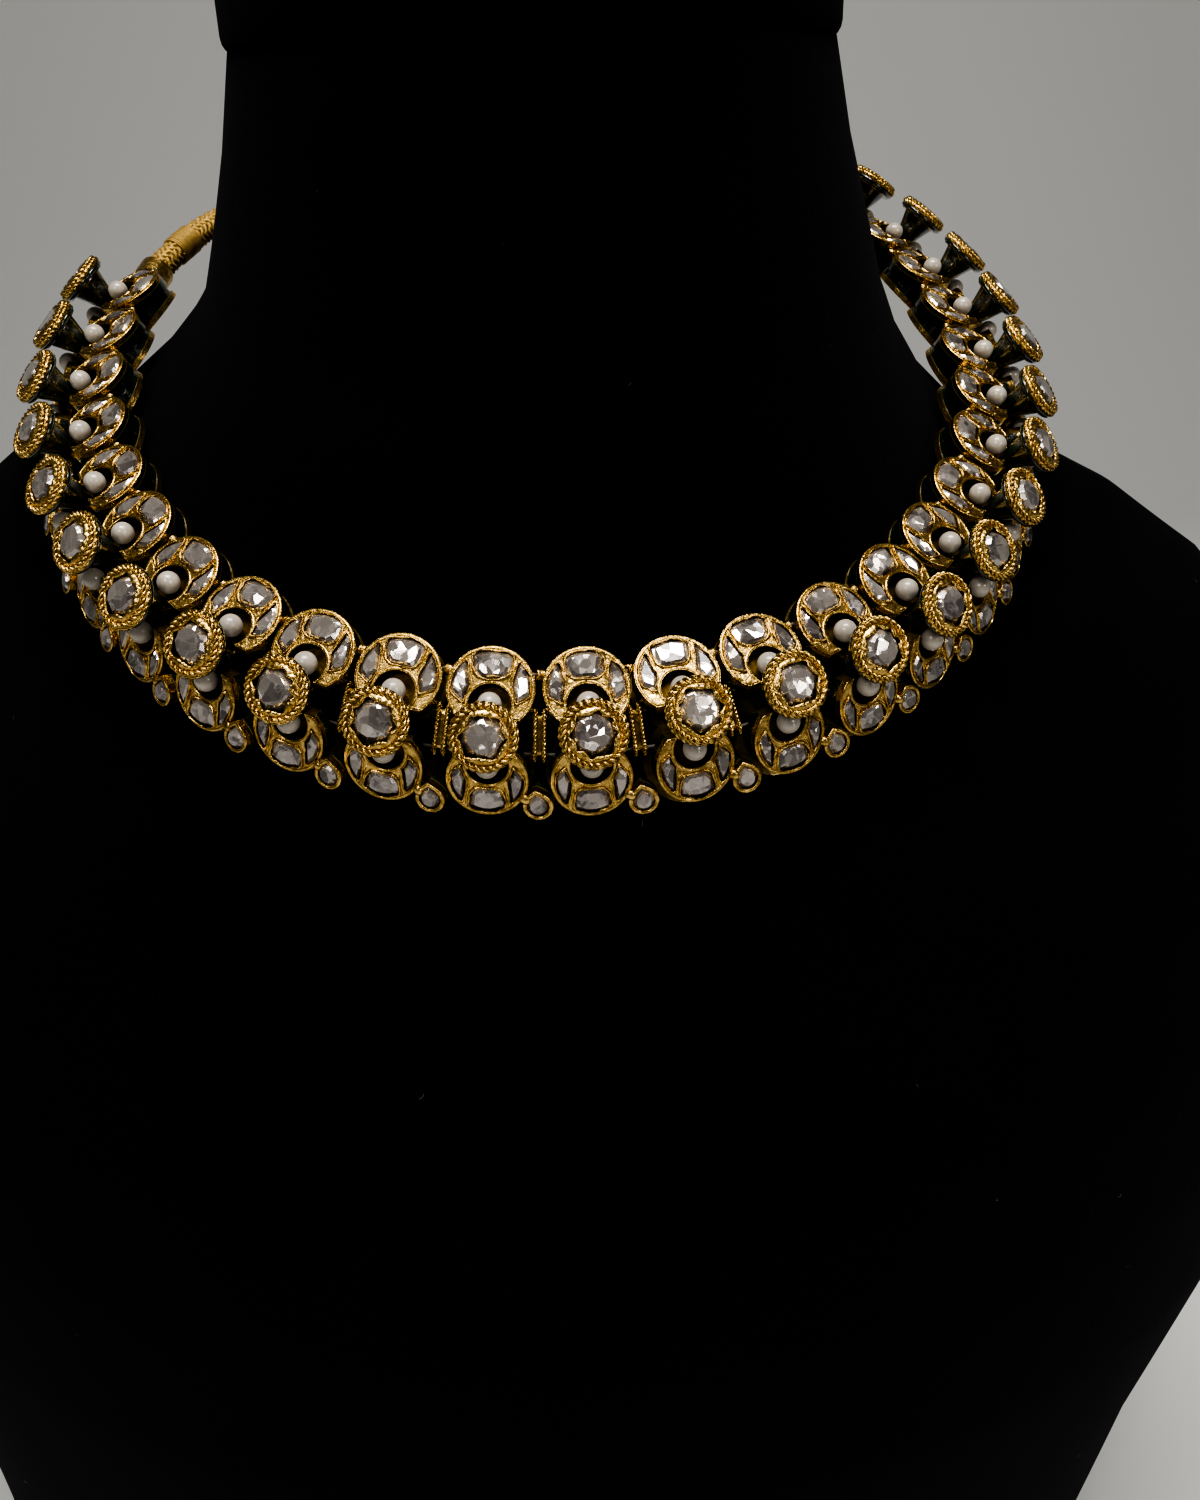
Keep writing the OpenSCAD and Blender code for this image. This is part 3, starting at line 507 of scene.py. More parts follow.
# Scatters short fibres over a surface.
def fuzzTree():
    graph, ins = nodeTree("scatterFibres", [("Fibre", "Object"), ("Density", "Float"),
                                            ("Size", "Float"), ("Seed", "Int"), ("Material", "Material")])
    spots = graph.add("GeometryNodeDistributePointsOnFaces", {},
                      {"Mesh": ins["Geometry"], "Density": ins["Density"], "Seed": ins["Seed"]})
    fibre = graph.add("GeometryNodeObjectInfo", {}, {"Object": ins["Fibre"]}, out="Geometry")
    spin = graph.add("FunctionNodeRandomValue", {"data_type": "FLOAT_VECTOR"},
                     {0: (-0.9, -0.9, 0.0), 1: (0.9, 0.9, 6.28), "Seed": ins["Seed"]})
    grow = graph.add("FunctionNodeRandomValue", {"data_type": "FLOAT"},
                     {2: 0.5, 3: 1.3, "Seed": ins["Seed"]}) * ins["Size"]
    turned = graph.add("FunctionNodeRotateRotation", {"rotation_space": "LOCAL"},
                       {0: spots.output("Rotation"), 1: spin})
    spread = graph.add("GeometryNodeInstanceOnPoints", {},
                       {"Points": spots, "Instance": fibre, "Rotation": turned, "Scale": grow})
    return finishTree(graph, spread, ins["Material"])


placeOnCollar, windStrands, scatterFibres = placeTree(), windTree(), fuzzTree()
print("node trees made")


# Points with a turn each, for the tree that places pieces.
def spots(name, matrices):
    made = meshObject(name, [m.translation * mm for m in matrices], [])
    turn = made.data.attributes.new("turn", "QUATERNION", "POINT")
    turn.data.foreach_set("value", [v for m in matrices for v in m.to_quaternion()])
    return made


def finishPiece(thing, slot, *replaced):
    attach(thing, "root")
    if replaced:
        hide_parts(*replaced)
    print(thing.name, len(thing.data.polygons), "faces")
    return thing


still = Matrix.Identity(4)


# The quads between two rows of n points each, numbered from the start of the mesh.
def band(first, second, n):
    a, b = first * n, second * n
    return [(a + j, a + (j + 1) % n, b + (j + 1) % n, b + j) for j in range(n)]


# Repeats a piece, made in a setting's own frame, in each of the given frames.
def onCollar(name, piece, matrices, paint, slot):
    host = spots(name, matrices)
    made = useTree(host, placeOnCollar, {"Piece": piece, "Size": 1.0, "Material": paint})
    bpy.data.objects.remove(piece)
    return finishPiece(made, slot)


# A tube along a path of millimetre points, closed or with narrower ends, as points and faces.
def sweep(path, radius, sides, closed, squash=1.0):
    path = [Vector(p) for p in path]
    n = len(path)
    points, faces = [], []
    for k, p in enumerate(path):
        before = path[(k - 1) % n] if closed or k else p
        after = path[(k + 1) % n] if closed or k < n - 1 else p
        ahead = (after - before).normalized()
        side = ahead.cross(Vector((0, 0, 1))).normalized()
        up = side.cross(ahead)
        width = radius if closed or 0 < k < n - 1 else radius * 0.6
        points += [p + side * (width * math.cos(a)) + up * (width * squash * math.sin(a))
                   for a in (2 * math.pi * (j + 0.5) / sides for j in range(sides))]
    for k in range(n if closed else n - 1):
        faces += band((k + 1) % n, k, sides)
    if not closed:
        faces += [tuple(range(sides)), tuple((n - 1) * sides + j for j in range(sides))[::-1]]
    return points, faces


# Joins several (points, faces) pieces, each moved by its matrix, into one object in metres.
def joined(name, parts, smooth=True):
    points, faces = [], []
    for matrix, (ps, fs) in parts:
        base = len(points)
        points += [(matrix @ Vector(p)) * mm for p in ps]
        faces += [[base + v for v in f] for f in fs]
    return meshObject(name, points, faces, smooth=smooth)


def shift(x, y, z):
    return Matrix.Translation((x, y, z))


def arcPoints(r, start, stop, count, y=0.0):
    return [(r * math.sin(rad(a)), y + r * math.cos(rad(a)), 0) for a in np.linspace(start, stop, count)]


# Gold wire over every wall of the crescents and round each drop. The divider's points are shares of the
# outer radius, and the foot's are heights.
rims = {"wire": 0.26, "sink": 0.1, "sides": 8, "squash": 0.8, "thin": 0.85, "thinSides": 6,
        "divider": ((0.56, 0.79), (0.53, 0.6), (0.49, 0.38), (0.42, 0.1)), "foot": (-1.35, -1.95, -2.6),
        "dropInset": 0.25}


def crescentRim(r):
    inset = crescent["rim"] / 2
    out, near = r - inset, crescent["notch"] + inset
    low = inset - crescent["horn"]
    outer = math.degrees(math.acos(low / out))
    inner = math.degrees(math.acos((low + crescent["shift"]) / near))
    loop = arcPoints(out, -outer, outer, 40) + arcPoints(near, inner, -inner, 28, -crescent["shift"])
    parts = [sweep(loop, rims["wire"], rims["sides"], True, rims["squash"])]
    for side in (-1, 1):
        divider = [(side * x * out, y * out, 0) for x, y in rims["divider"]]
        reaches = (side * (out - 0.1), side * 0.5 * (out + near), side * (near + 0.02))
        foot = [(x, y, 0) for x, y in zip(reaches, rims["foot"])]
        parts += [sweep(p, rims["wire"] * rims["thin"], rims["thinSides"], False, rims["squash"])
                  for p in (divider, foot)]
    return parts


def dropOutline(inset):
    r = drop["radius"] - inset
    tip = drop["tip"] * r / drop["radius"]
    a = math.degrees(math.acos(r / tip))
    turns = [rad(b) for b in np.linspace(a, 360 - a, 22)]
    return [(0, tip, 0)] + [(-r * math.sin(b), r * math.cos(b), 0) for b in turns]


dropPlace = (lowerPlane @ shift(-drop["side"], drop["reach"], drop["proud"])
             @ Matrix.Rotation(rad(180 + drop["turn"]), 4, "Z"))
crescentPlaces = [(upperPlane @ shift(0, crescent["reach"], -rims["sink"]), crescent["upper"]),
                  (lowerPlane @ shift(0, crescent["reach"], -rims["sink"]), crescent["lower"])]
rimPiece = joined("rimPiece", [(m, p) for m, r in crescentPlaces for p in crescentRim(r)])
onCollar("crescent_rims", rimPiece, settingFrames, goldTrim, "gold")
dropWire = sweep(dropOutline(rims["dropInset"]), rims["wire"], rims["sides"], True, rims["squash"])
dropRim = joined("dropRim", [(dropPlace @ shift(0, 0, -rims["sink"]), dropWire)])
onCollar("drop_rims", dropRim, settingFrames[:-1], goldTrim, "gold")


# Soft gold pressed over the edge of each crescent stone. A row is the share of the cell's outline against
# the window's, the growth and the height. A wave is a count and a size.
lips = {"around": 40, "soften": 5, "wave": 0.08, "waves": ((3, 1), (5, 1), (11, 0.6)), "rise": 0.6,
        "taper": (0.10, 0.26, -0.06), "seed": 11, "thick": 0.0001,
        "rows": ((1.0, 1.07, 0.02), (0.7, 1.03, 0.28), (0.3, 1.01, 0.42), (0.0, 0.98, 0.38),
                 (0.0, 0.93, 0.12))}


def evenly(outline, count):
    loop = np.array([*outline, outline[0]], dtype=float)
    run = np.concatenate([[0], np.cumsum(np.linalg.norm(np.diff(loop, axis=0), axis=1))])
    marks = np.linspace(0, run[-1], count, endpoint=False)
    return np.stack([np.interp(marks, run, loop[:, k]) for k in (0, 1)], axis=1)


def softened(loop, times):
    for step in range(times):
        loop = 0.25 * np.roll(loop, 1, 0) + 0.5 * loop + 0.25 * np.roll(loop, -1, 0)
    return loop


def lipRing(outline, taper, rng):
    n = lips["around"]
    edge = evenly(outline, n)
    window = softened(edge, lips["soften"])
    middle = window.mean(0)
    tall = np.ptp(window[:, 1])
    window[:, 0] = middle[0] + (window[:, 0] - middle[0]) * (1 + taper * (window[:, 1] - middle[1]) / tall)
    a = np.linspace(0, 2 * math.pi, n, endpoint=False)
    wavy = lips["wave"] * sum(size * np.sin(count * a + rng.uniform(0, 6)) for count, size in lips["waves"])
    points, faces = [], []
    for share, grow, z in lips["rows"]:
        ring = share * edge + (1 - share) * window
        out = ring - middle
        ring = middle + out * grow + (1 - share) * (wavy / np.linalg.norm(out, axis=1))[:, None] * out
        points += [(x, y, z + (lips["rise"] * w if 0.02 < z else 0)) for (x, y), w in zip(ring, wavy)]
    for k in range(len(lips["rows"]) - 1):
        faces += band(k, k + 1, n)
    return points, faces


def middleOutline(r):
    full, low = r - crescent["rim"], crescent["notch"] - crescent["shift"] + crescent["rim"]
    top = [p[:2] for p in arcPoints(full, 32, -32, 12)]
    return top + [(full * x, low + y) for x, y in ((-0.48, 0.8), (-0.33, 0), (0.33, 0), (0.48, 0.8))]


def cellOutline(r, side):
    out, near = r - crescent["rim"], crescent["notch"] + crescent["rim"]
    loop = arcPoints(out, 102, 40, 10) + arcPoints(near, 50, 90, 6, -crescent["shift"])
    loop = [(side * x, y) for x, y, z in loop]
    return loop if side > 0 else loop[::-1]


# A sheet of gold with a thickness in metres.
def thickened(piece, thickness):
    thick = piece.modifiers.new("thick", "SOLIDIFY")
    thick.thickness, thick.offset = thickness, -1
    return settle(piece)


for variant in range(3):
    rng = np.random.default_rng(variant + lips["seed"])
    made = []
    for plane, r in crescentPlaces:
        made.append((plane, lipRing(middleOutline(r), lips["taper"][variant], rng)))
        made += [(plane, lipRing(cellOutline(r, side), 0, rng)) for side in (-1, 1)]
    lipPiece = thickened(joined("lipPiece", made), lips["thick"])
    onCollar("stone_lips_%d" % (variant + 1), lipPiece, settingFrames[variant::3], goldTrim, "gold")


# The web of gold between each drop and its crescent.
web = {"from": 5.0, "to": 6.35, "radius": 0.72, "squash": 0.5, "low": 0.12, "step": 0.15, "sides": 8}
across = Vector((-drop["side"], drop["reach"] - crescent["reach"], 0)).normalized()
webPath = [Vector((0, crescent["reach"], web["low"] + web["step"] * k))
           + across * (web["from"] + (web["to"] - web["from"]) * k / 3) for k in range(4)]
webSolid = sweep(webPath, web["radius"], web["sides"], False, web["squash"])
webPiece = joined("webPiece", [(lowerPlane, webSolid)])
onCollar("drop_webs", webPiece, settingFrames[:-1], goldTrim, "gold")


# The stones of the crescents' side cells.
sideCell = {"gap": 0.1, "table": 0.62, "crown": 0.32, "floor": -0.7, "girdle": -0.15}


def sideOutline(r):
    out = r - crescent["rim"] - sideCell["gap"]
    near = crescent["notch"] + crescent["rim"] + sideCell["gap"]
    return [p[:2] for p in arcPoints(out, 99, 43, 8) + arcPoints(near, 53, 87, 5, -crescent["shift"])]


def cutStone(outline):
    n = len(outline)
    middle = np.mean(outline, axis=0)
    points = [(x, y, sideCell[level]) for level in ("floor", "girdle") for x, y in outline]
    points += [(*(middle + sideCell["table"] * (np.array(p) - middle)), sideCell["crown"]) for p in outline]
    return points, [list(range(n))[::-1], list(range(2 * n, 3 * n)), *band(0, 1, n), *band(1, 2, n)]


sideParts = []
for plane, r in crescentPlaces:
    for side in (-1, 1):
        outline = [(side * x, y) for x, y in sideOutline(r)][::side]
        sideParts.append((plane @ shift(0, 0, rims["sink"]), cutStone(outline)))
sidePiece = joined("sideStone", sideParts, smooth=False)
onCollar("side_stones", sidePiece, settingFrames, kundanStone, "kundan_stone")


# The foil pressed up round each stud's stone, a wavy collar with scalloped folds. A row is a radius, a height
# and a share of the waves, and the first rows are creased too.
foil = {"around": 112, "lobes": (7, 6, 8), "wave": 0.3, "lift": 0.2, "creased": 5, "seed": 3,
        "thick": 0.00012,
        "rows": [(2.86, -0.1, 1.3), (2.9, 0.2, 1.25), (3.08, 0.4, 1), (3.3, 0.3, 0.6), (3.54, 0.12, 0.3),
                 (3.76, -0.1, 0.1), (3.84, -0.4, 0)]}


def foilCollar(variant):
    rng = np.random.default_rng(variant + foil["seed"])
    phase = rng.uniform(0, 6.28, 5)
    points, faces = [], []
    n, rows, lobes = foil["around"], foil["rows"], foil["lobes"][variant]
    for k, (r, z, share) in enumerate(rows):
        for j in range(n):
            a = 2 * math.pi * j / n
            bend = 0.8 * math.sin(2 * a + phase[0]) - 0.8 * math.sin(phase[0])
            fold = abs(math.sin((lobes * a + bend) / 2))
            lobe = 0.75 - 1.5 * fold + math.sin(3 * a + phase[1]) * 0.3 + math.sin(2 * a + phase[2]) * 0.25
            crease = (math.sin(23 * a + 2 * math.sin(3 * a + phase[3]) + k) * 0.5
                      + math.sin(17 * a + phase[4] + 2 * k) * 0.5)
            wide = r + foil["wave"] * share * lobe
            lift = min(share, 1) * (0.7 * crease - 0.6 * lobe) if k < foil["creased"] else 0
            points.append((wide * math.cos(a), wide * math.sin(a), z + foil["lift"] * lift))
    for k in range(len(rows) - 1):
        faces += band(k + 1, k, n)
    return points, faces


studTop = shift(0, stud["shift"], stud["rise"])
for variant in range(3):
    foilPiece = thickened(joined("foilPiece", [(studTop, foilCollar(variant))]), foil["thick"])
    onCollar("stud_foil_%d" % (variant + 1), foilPiece, settingFrames[variant::3], goldTrim, "gold")


# Two twisted wires round each bezel, each ring given by its radius and height.
bezelRope = {"strands": 2, "wire": 0.23, "wind": 0.27, "turns": 14, "steps": 140, "sides": 5,
             "rings": ((4.0, stud["rise"] - 0.12), (4.24, stud["rise"] - 0.66))}


# A mesh of edges along closed loops, for wire to be wound on.
def ringPath(name, loops):
    points, edges = [], []
    for loop in loops:
        base, n = len(points), len(loop)
        points += [Vector(p) * mm for p in loop]
        edges += [(base + k, base + (k + 1) % n) for k in range(n)]
    return meshObject(name, points, [], edges)


def circleLoop(r, z, count=48):
    turns = [2 * math.pi * k / count for k in range(count)]
    return [(r * math.cos(a), stud["shift"] + r * math.sin(a), z) for a in turns]


def wound(host, rope, paint, braid=0.0, weave=0.0):
    return useTree(host, windStrands, {
        "Strands": rope["strands"], "Wire radius": rope["wire"] * mm, "Wind radius": rope["wind"] * mm,
        "Turns": float(rope["turns"]), "Steps": rope["steps"], "Sides": rope["sides"],
        "Braid": braid, "Weave": weave * mm, "Material": paint})


ropePath = ringPath("ropePiece", [circleLoop(r, z) for r, z in bezelRope["rings"]])
ropePiece = wound(ropePath, bezelRope, goldTrim)
onCollar("bezel_ropes", ropePiece, settingFrames, goldTrim, "gold")


# The spacer bars' own frames, from the threads' places in the two settings beside them.
def spacerFrame(i):
    ends = []
    for matrix, x in ((settingFrames[i], threads["half"]), (settingFrames[i + 1], -threads["half"])):
        ends.append([matrix @ Vector((x, k * threads["spread"] / 2 - threads["shift"], -threads["depth"]))
                     for k in (-1, 1)])
    low, high = (ends[0][0] + ends[1][0]) / 2, (ends[0][1] + ends[1][1]) / 2
    x = ((ends[1][0] + ends[1][1]) - (ends[0][0] + ends[0][1])).normalized()
    y = (high - low) - x * (high - low).dot(x)
    y.normalize()
    z = x.cross(y)
    middle = (low + high) / 2
    return Matrix([(x[k], y[k], z[k], middle[k]) for k in range(3)] + [(0, 0, 0, 1)])


# Gold wire wound over the top thread between the settings.
linkCoil = {"strands": 1, "wire": 0.22, "wind": 0.66, "turns": 5, "steps": 60, "sides": 6,
            "reach": 9.25, "depth": 1.55, "side": 5.6}


def linkPath():
    points, edges = [], []
    for pair in zip(settingFrames[:-1], settingFrames[1:]):
        edges.append((len(points), len(points) + 1))
        points += [m @ upperPlane @ Vector((s * linkCoil["side"], linkCoil["reach"], -linkCoil["depth"])) * mm
                   for m, s in zip(pair, (1, -1))]
    return meshObject("link_coils", points, [], edges)


finishPiece(wound(linkPath(), linkCoil, goldTrim), "gold")

spacerFrames = [spacerFrame(i) for i in range(collar["settings"] - 1)]
spacerRope = {"strands": 2, "wire": 0.2, "wind": 0.18, "turns": 14, "steps": 84, "sides": 5,
              "high": 6.8, "wide": 1.9, "apart": 0.63}


# A loop round the end face of a spacer: two half circles and the straight sides between them.
def pillLoop(x, high, wide, count=12):
    loop = []
    for s in (1, -1):
        for a in np.linspace(0, math.pi, count):
            b = a + (0 if s > 0 else math.pi)
            loop.append((x, s * (high - wide) / 2 + wide / 2 * math.sin(b), wide / 2 * math.cos(b)))
    return loop


spacerPath = ringPath("spacerRope", [pillLoop(s * spacerRope["apart"], spacerRope["high"], spacerRope["wide"])
                                     for s in (-1, 1)])
onCollar("spacer_ropes", wound(spacerPath, spacerRope, goldTrim), spacerFrames, goldTrim, "gold")
print("collar trims made")


# The braided cord at the back, wound over the solid's own route, with its windings and loose fibres. The
# route's first and last points are in the frames of the two end settings.
cord = {"strands": 12, "wire": 0.42, "wind": 1.86, "turns": 21, "steps": 330, "sides": 5, "weave": 0.24,
        "parts": 8}
cordWrap = {"strands": 1, "wire": 0.2, "wind": 2.42, "turns": 13, "steps": 260, "sides": 5, "from": 14,
            "to": 20}
cordFuzz = {"density": 260000.0, "size": 0.75, "seed": 4, "inside": 2.2, "thick": 0.05,
            "hair": [(0, 0, 0), (0.15, 0.05, 0.25), (0.5, 0, 0.5), (0.85, -0.1, 0.5)]}
route = {"reach": 8.6, "length": 5, "y": 1, "z": -5, "places": (0.3, 1.2),
         "middle": [(-68.4, 32, 11.3), (-64.4, 38.4, 14.4), (-57.5, 45, 17.2), (-47, 51.5, 20),
                    (-34, 57, 22.7), (-20, 60.5, 24.5), (-10, 61.5, 25), (0, 61.5, 25), (10, 61.5, 25),
                    (20, 62, 24.8), (30, 62.2, 24), (39, 62, 22.3)]}


def cordPoints():
    ends = {}
    for side, matrix in ((-1, settingFrames[0]), (1, settingFrames[-1])):
        reaches = [side * (route["reach"] + route["length"] * (0.5 + 0.5 * x)) for x in route["places"]]
        ends[side] = [matrix @ Vector((reach, route["y"], route["z"])) for reach in reaches]
    middle = [Vector(p) + Vector((0, 0, collar["height"])) for p in route["middle"]]
    return [*ends[-1], *middle, *ends[1][::-1]]


# A smooth curve through the given points, with so many steps between each two.
def smoothPath(points, steps):
    points = [np.array(p[:]) for p in points]
    points = [2 * points[0] - points[1], *points, 2 * points[-1] - points[-2]]
    made = []
    for k in range(1, len(points) - 2):
        a, b, c, d = points[k - 1:k + 3]
        for t in np.linspace(0, 1, steps, endpoint=False):
            made.append(0.5 * (2 * b + (c - a) * t + (2 * a - 5 * b + 4 * c - d) * t ** 2
                               + (3 * b - a - 3 * c + d) * t ** 3))
    return [*made, points[-2]]


# Short bent fibres over a host mesh, as a finished piece.
def fibres(host, fuzz, paint, slot):
    hair = joined("hair", [(still, sweep(fuzz["hair"], fuzz["thick"], 3, False))])
    useTree(host, scatterFibres, {"Fibre": hair, "Density": fuzz["density"], "Size": fuzz["size"],
                                  "Seed": fuzz["seed"], "Material": paint})
    bpy.data.objects.remove(hair)
    return finishPiece(host, slot)


cordLine = smoothPath(cordPoints(), cord["parts"])
host = meshObject("back_cord", [Vector(p) * mm for p in cordLine], [],
                  [(k, k + 1) for k in range(len(cordLine) - 1)])
finishPiece(wound(host, cord, zariThread, 1.0, cord["weave"]), "gold_cord", "cord")
wraps = [cordLine[cordWrap["from"]:cordWrap["to"]], cordLine[-cordWrap["to"]:-cordWrap["from"]]]
size = len(wraps[0])
wrapHost = meshObject("cord_wraps", [Vector(p) * mm for w in wraps for p in w], [],
                      [(size * s + k, size * s + k + 1) for s in (0, 1) for k in range(size - 1)])
finishPiece(wound(wrapHost, cordWrap, zariThread), "gold_cord")
tube = joined("cord_fuzz", [(still, sweep(cordLine, cordFuzz["inside"], 8, False))])
fibres(tube, cordFuzz, zariThread, "gold_cord")


# The velvet bust, through the same sections as its solid but with more sides. A row is a section: its levels
# at the side, front and back (for the neck, how far these two are below and above), half its width, its
# depths to the front and back, its middle and its share of the side tilt, all as shares of the first sizes.
bust = {
    "sides": 120, "steps": 5, "neckRise": 43, "neck": 45.5, "shoulder": 155, "chest": 97, "back": 82,
    "gap": 1.5, "upperBack": (0.2, 1.33), "lowerBack": (-0.1, 1.45),
    "neckRows": [
        (1, 0, 0, 1.02, 0.93, 1.07, 0.07, -0.8), (0.7, 0.05, 0.03, 1.08, 0.98, 1.1, 0.07, -0.8),
        (0.44, 0.14, 0.1, 1.15, 1.04, 1.15, 0.07, -0.6), (0.23, 0.25, 0.19, 1.21, 1.1, 1.21, 0.065, -0.2),
        (0.08, 0.42, 0.24, 1.285, 1.2, 1.27, 0.05, 0.6)],
    "bodyRows": [
        (0.063, 0.203, 0.052, 0.587, 0.765, 0.86, 0.08, 0.6),
        (0.085, 0.233, 0.078, 0.658, 0.805, 0.89, 0.07, 0.1),
        (0.124, 0.272, 0.115, 0.755, 0.85, 0.92, 0.05, -0.3),
        (0.174, 0.315, 0.164, 0.845, 0.9, 0.95, 0.03, -0.3),
        (0.242, 0.365, 0.234, 0.92, 0.945, 0.975, 0, -0.2), (0.332, 0.432, 0.329, 0.95, 0.98, 0.99, 0, -0.1),
        (0.45, 0.516, 0.45, 0.93, 1, 1, 0, 0), (0.61, 0.65, 0.61, 0.86, 0.975, 0.975, 0, 0.2),
        (0.8, 0.815, 0.8, 0.82, 0.92, 0.94, 0, 0.4), (0.97, 0.97, 0.97, 0.82, 0.87, 0.91, 0, 0.6),
        (1, 1, 1, 0.81, 0.855, 0.895, 0, 0.6)]}


# The section under the edge of the back plates, at the point y, z of a setting's own frame.
def ringSection(y, z, backHeight, backReach):
    lean, tilt = rad(collar["lean"]), rad(collar["tilt"])
    z -= bust["gap"]
    out = -(y - stud["shift"]) * math.cos(lean) + (z - stud["rise"]) * math.sin(lean)
    up = (y - stud["shift"]) * math.sin(lean) + (z - stud["rise"]) * math.cos(lean)
    side, deep = up * math.cos(tilt), collar["halfDepth"] + out
    return (side, side - deep * math.sin(tilt), backHeight, collar["halfWidth"] + out,
            deep * math.cos(tilt) + up * math.sin(tilt), backReach, -up * math.sin(tilt), 1)


def bustSections():
    rise, neck, tall = bust["neckRise"], bust["neck"], collar["height"]
    rows = [(rise * r[0], rise * (r[0] - r[1]), rise * (r[0] + r[2]), *(neck * v for v in r[3:7]), r[7])
            for r in bust["neckRows"]]
    for reach, (high, far) in ((back["upperReach"] + back["upper"], bust["upperBack"]),
                               (-back["lowerReach"] - back["lower"], bust["lowerBack"])):
        rows.append(ringSection(reach, -back["drop"], high * rise, far * neck))
    return rows + [(-tall * r[0], -tall * r[1], -tall * r[2], bust["shoulder"] * r[3], bust["chest"] * r[4],
                    bust["back"] * r[5], bust["back"] * r[6], r[7]) for r in bust["bodyRows"]]


# A point of a section. The lowest section isn't turned but only moved aside, so that the bust stands flat.
def sectionPoint(section, a):
    level, front, behind, wide, deep, backDeep, middle, share = section
    c = math.cos(a)
    x = wide * math.sin(a)
    y = middle - c * (middle + deep if c > 0 else backDeep - middle)
    z = level + abs(c) * ((front if c > 0 else behind) - level)
    t, tall = rad(collar["sideTilt"]) * share, collar["height"]
    if level <= -tall:
        return Vector((x + z * math.sin(t), y, 0))
    return Vector((x * math.cos(t) + z * math.sin(t), y, z * math.cos(t) - x * math.sin(t) + tall))


def loft(rows, sides):
    points = [sectionPoint(s, 2 * math.pi * k / sides) for s in rows for k in range(sides)]
    faces = []
    for r in range(len(rows) - 1):
        a, b = r * sides, (r + 1) * sides
        faces += [(a + k, b + k, b + (k + 1) % sides, a + (k + 1) % sides) for k in range(sides)]
    end = (len(rows) - 1) * sides
    return points, faces + [tuple(range(sides)), tuple(end + k for k in range(sides))[::-1]]


# Adds evenly spaced sections between the given ones.
def between(rows, steps):
    made = []
    for a, b in zip(rows[:-1], rows[1:]):
        made += [tuple(np.array(a) * (1 - t) + np.array(b) * t)
                 for t in np.linspace(0, 1, steps, endpoint=False)]
    return [*made, rows[-1]]


rows = bustSections()
bustForm = joined("velvet_bust", [(still, loft(between(rows, bust["steps"]), bust["sides"]))])
finishPiece(bustForm, "velvet", "bust")
bustForm.data.materials.append(blackVelvet)

# The cap's rows are shares of its rise and of its rounding.
cap = {"rise": 12, "over": 0.8, "round": 3.6, "gap": 0.3,
       "rows": [(1, 1), (0.985, 0.57), (0.93, 0.27), (0.85, 0.1), (0.76, 0.02), (0.5, 0), (0.14, 0),
                (0.06, 0.05), (0, 0.17)]}
top = rows[0]
capRows = []
for share, inset in cap["rows"]:
    level, grow = top[0] + cap["gap"] + cap["rise"] * share, cap["over"] - cap["round"] * inset
    capRows.append((level, level, level, *(v + grow for v in top[3:6]), *top[6:]))
capForm = joined("velvet_neck_cap", [(still, loft(capRows, bust["sides"]))])
finishPiece(capForm, "velvet", "neck_cap")
capForm.data.materials.append(blackVelvet)

# Lint on the velvet, but not under the foot, which is the bust's last face.
lint = {"density": 420.0, "size": 0.9, "seed": 7, "thick": 0.045,
        "hair": [(0, 0, 0.05), (0.25, 0.1, 0.35), (0.7, 0.05, 0.5), (1.0, -0.15, 0.4)]}
lintHost = meshObject("velvet_lint", [v.co for v in bustForm.data.vertices],
                      [p.vertices for p in bustForm.data.polygons][:-1])
fibres(lintHost, lint, lintFibre, "velvet")
print("bust made")


# Pale floor and backdrop, soft lights, and the camera at the photograph's place.
studio = {"pale": (0.62, 0.63, 0.63), "width": 6.0, "front": -2.5, "depth": 1.6, "rise": 3.2, "bend": 0.6,
          "world": 0.10, "air": (0.86, 0.83, 0.79, 1)}


def floorRecipe(graph):
    tone = noise(graph, place(graph), 3, 2)
    second = tuple(0.97 * v for v in studio["pale"])
    return {"Base Color": graph.mix(tone, studio["pale"], second), "Roughness": 0.7 + tone * 0.1}


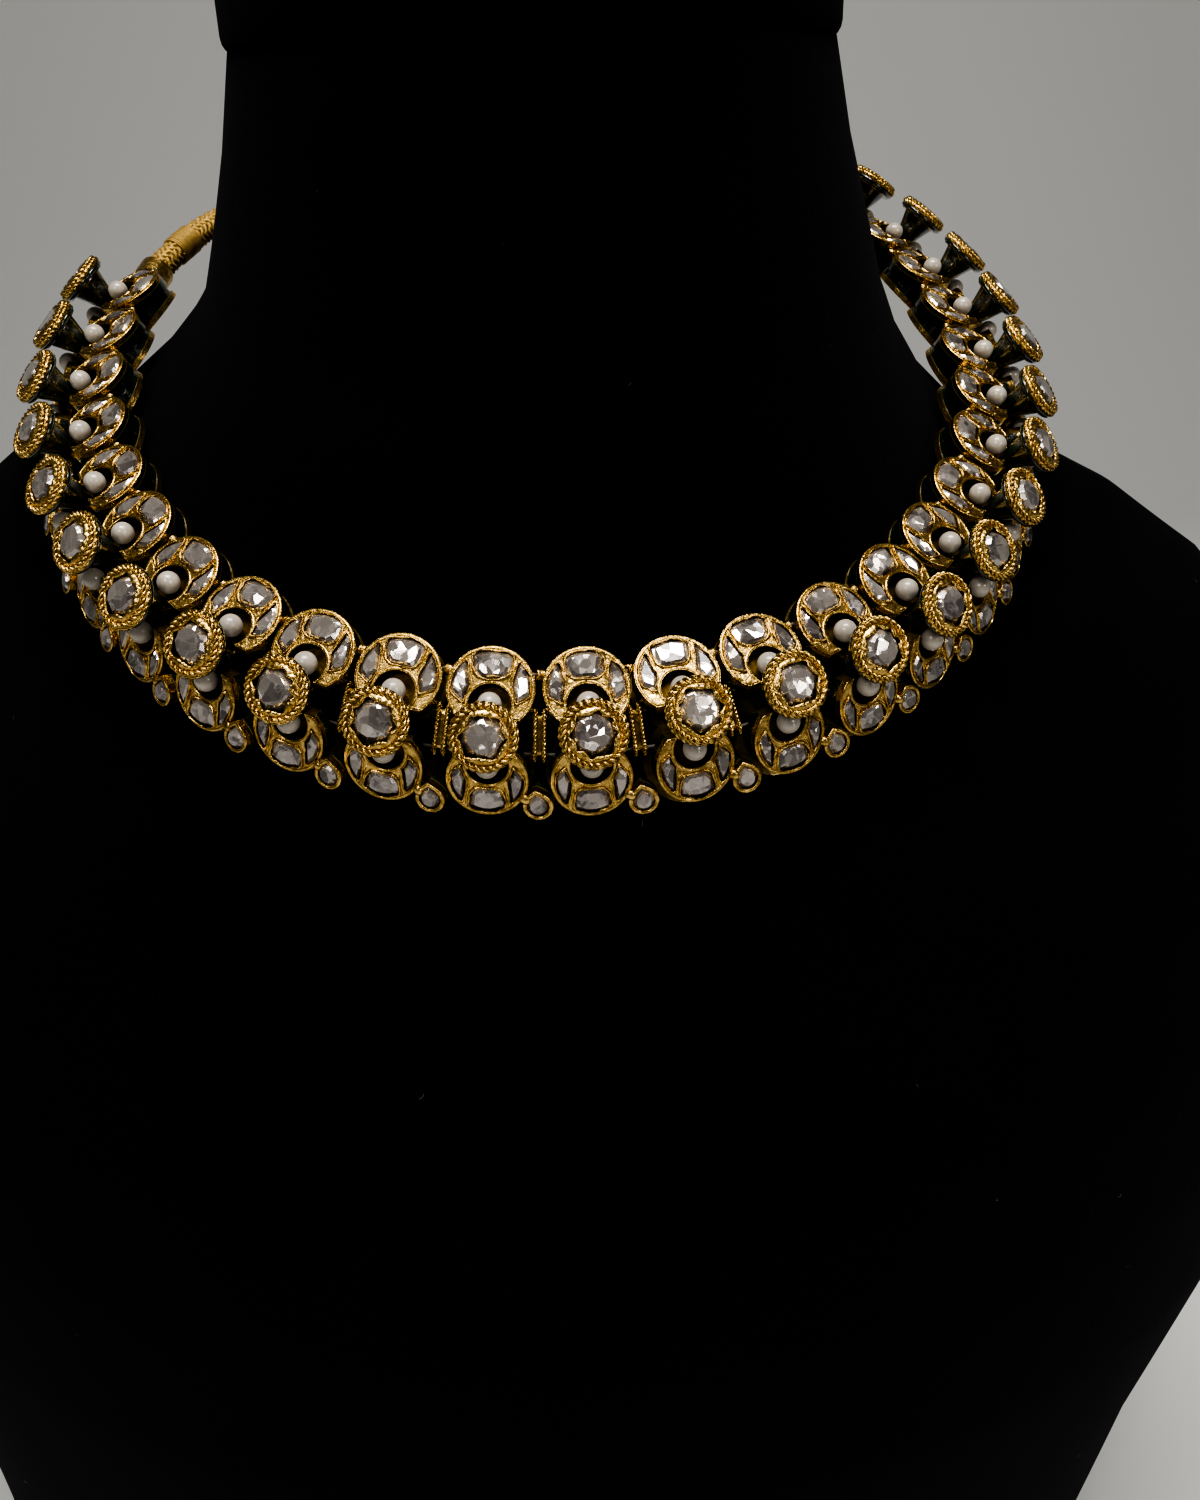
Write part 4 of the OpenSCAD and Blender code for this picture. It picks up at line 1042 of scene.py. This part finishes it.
paleFloor = material("paleFloor", floorRecipe, {})
bend, start = studio["bend"], studio["depth"] - studio["bend"]
curve = [(studio["front"], 0.0), (start, 0.0)]
curve += [(start + bend * math.sin(a), bend - bend * math.cos(a)) for a in np.linspace(0.1, math.pi / 2, 12)]
curve += [(studio["depth"], studio["rise"])]
half = studio["width"] / 2
backdrop = meshObject("backdrop", [(x, y, z) for y, z in curve for x in (-half, half)],
                      [(2 * k, 2 * k + 1, 2 * k + 3, 2 * k + 2) for k in range(len(curve) - 1)])
backdrop.data.materials.append(paleFloor)


def softLight(name, at, towards, size, power, colour):
    data = bpy.data.lights.new(name, "AREA")
    data.shape, data.size, data.size_y = "RECTANGLE", size[0], size[1]
    data.energy, data.color = power, colour
    light = bpy.data.objects.new(name, data)
    light.location = at
    light.rotation_euler = (Vector(towards) - Vector(at)).to_track_quat("-Z", "Y").to_euler()
    bpy.context.scene.collection.objects.link(light)


softLight("topLight", (0, -0.22, 1.5), (0, -0.05, 0.3), (0.8, 0.4), 19, (1, 0.965, 0.91))
softLight("keyLight", (-0.45, -1.0, 1.05), (0, -0.05, 0.3), (0.2, 0.2), 3.6, (1, 0.96, 0.9))
softLight("fillLight", (0.75, -0.85, 0.75), (0, 0, 0.3), (0.16, 0.3), 2.4, (1, 0.95, 0.9))
world = bpy.data.worlds.new("studio")
world.use_nodes = True
air = world.node_tree.nodes["Background"].inputs
air["Color"].default_value, air["Strength"].default_value = studio["air"], studio["world"]
bpy.context.scene.world = world

view = {"lens": 31.87, "sensor": 36, "near": 0.01, "down": 25.6, "at": (0.0091, -0.230, 0.3435)}
lens = bpy.data.cameras.new("camera")
lens.lens, lens.sensor_width, lens.clip_start = view["lens"], view["sensor"], view["near"]
camera = bpy.data.objects.new("camera", lens)
camera.location = view["at"]
camera.rotation_euler = (rad(90 - view["down"]), 0, 0)
bpy.context.scene.collection.objects.link(camera)
bpy.context.scene.camera = camera
bpy.context.scene.view_settings.view_transform = "AgX"
bpy.context.scene.view_settings.look = "AgX - High Contrast"

bpy.context.view_layer.update()
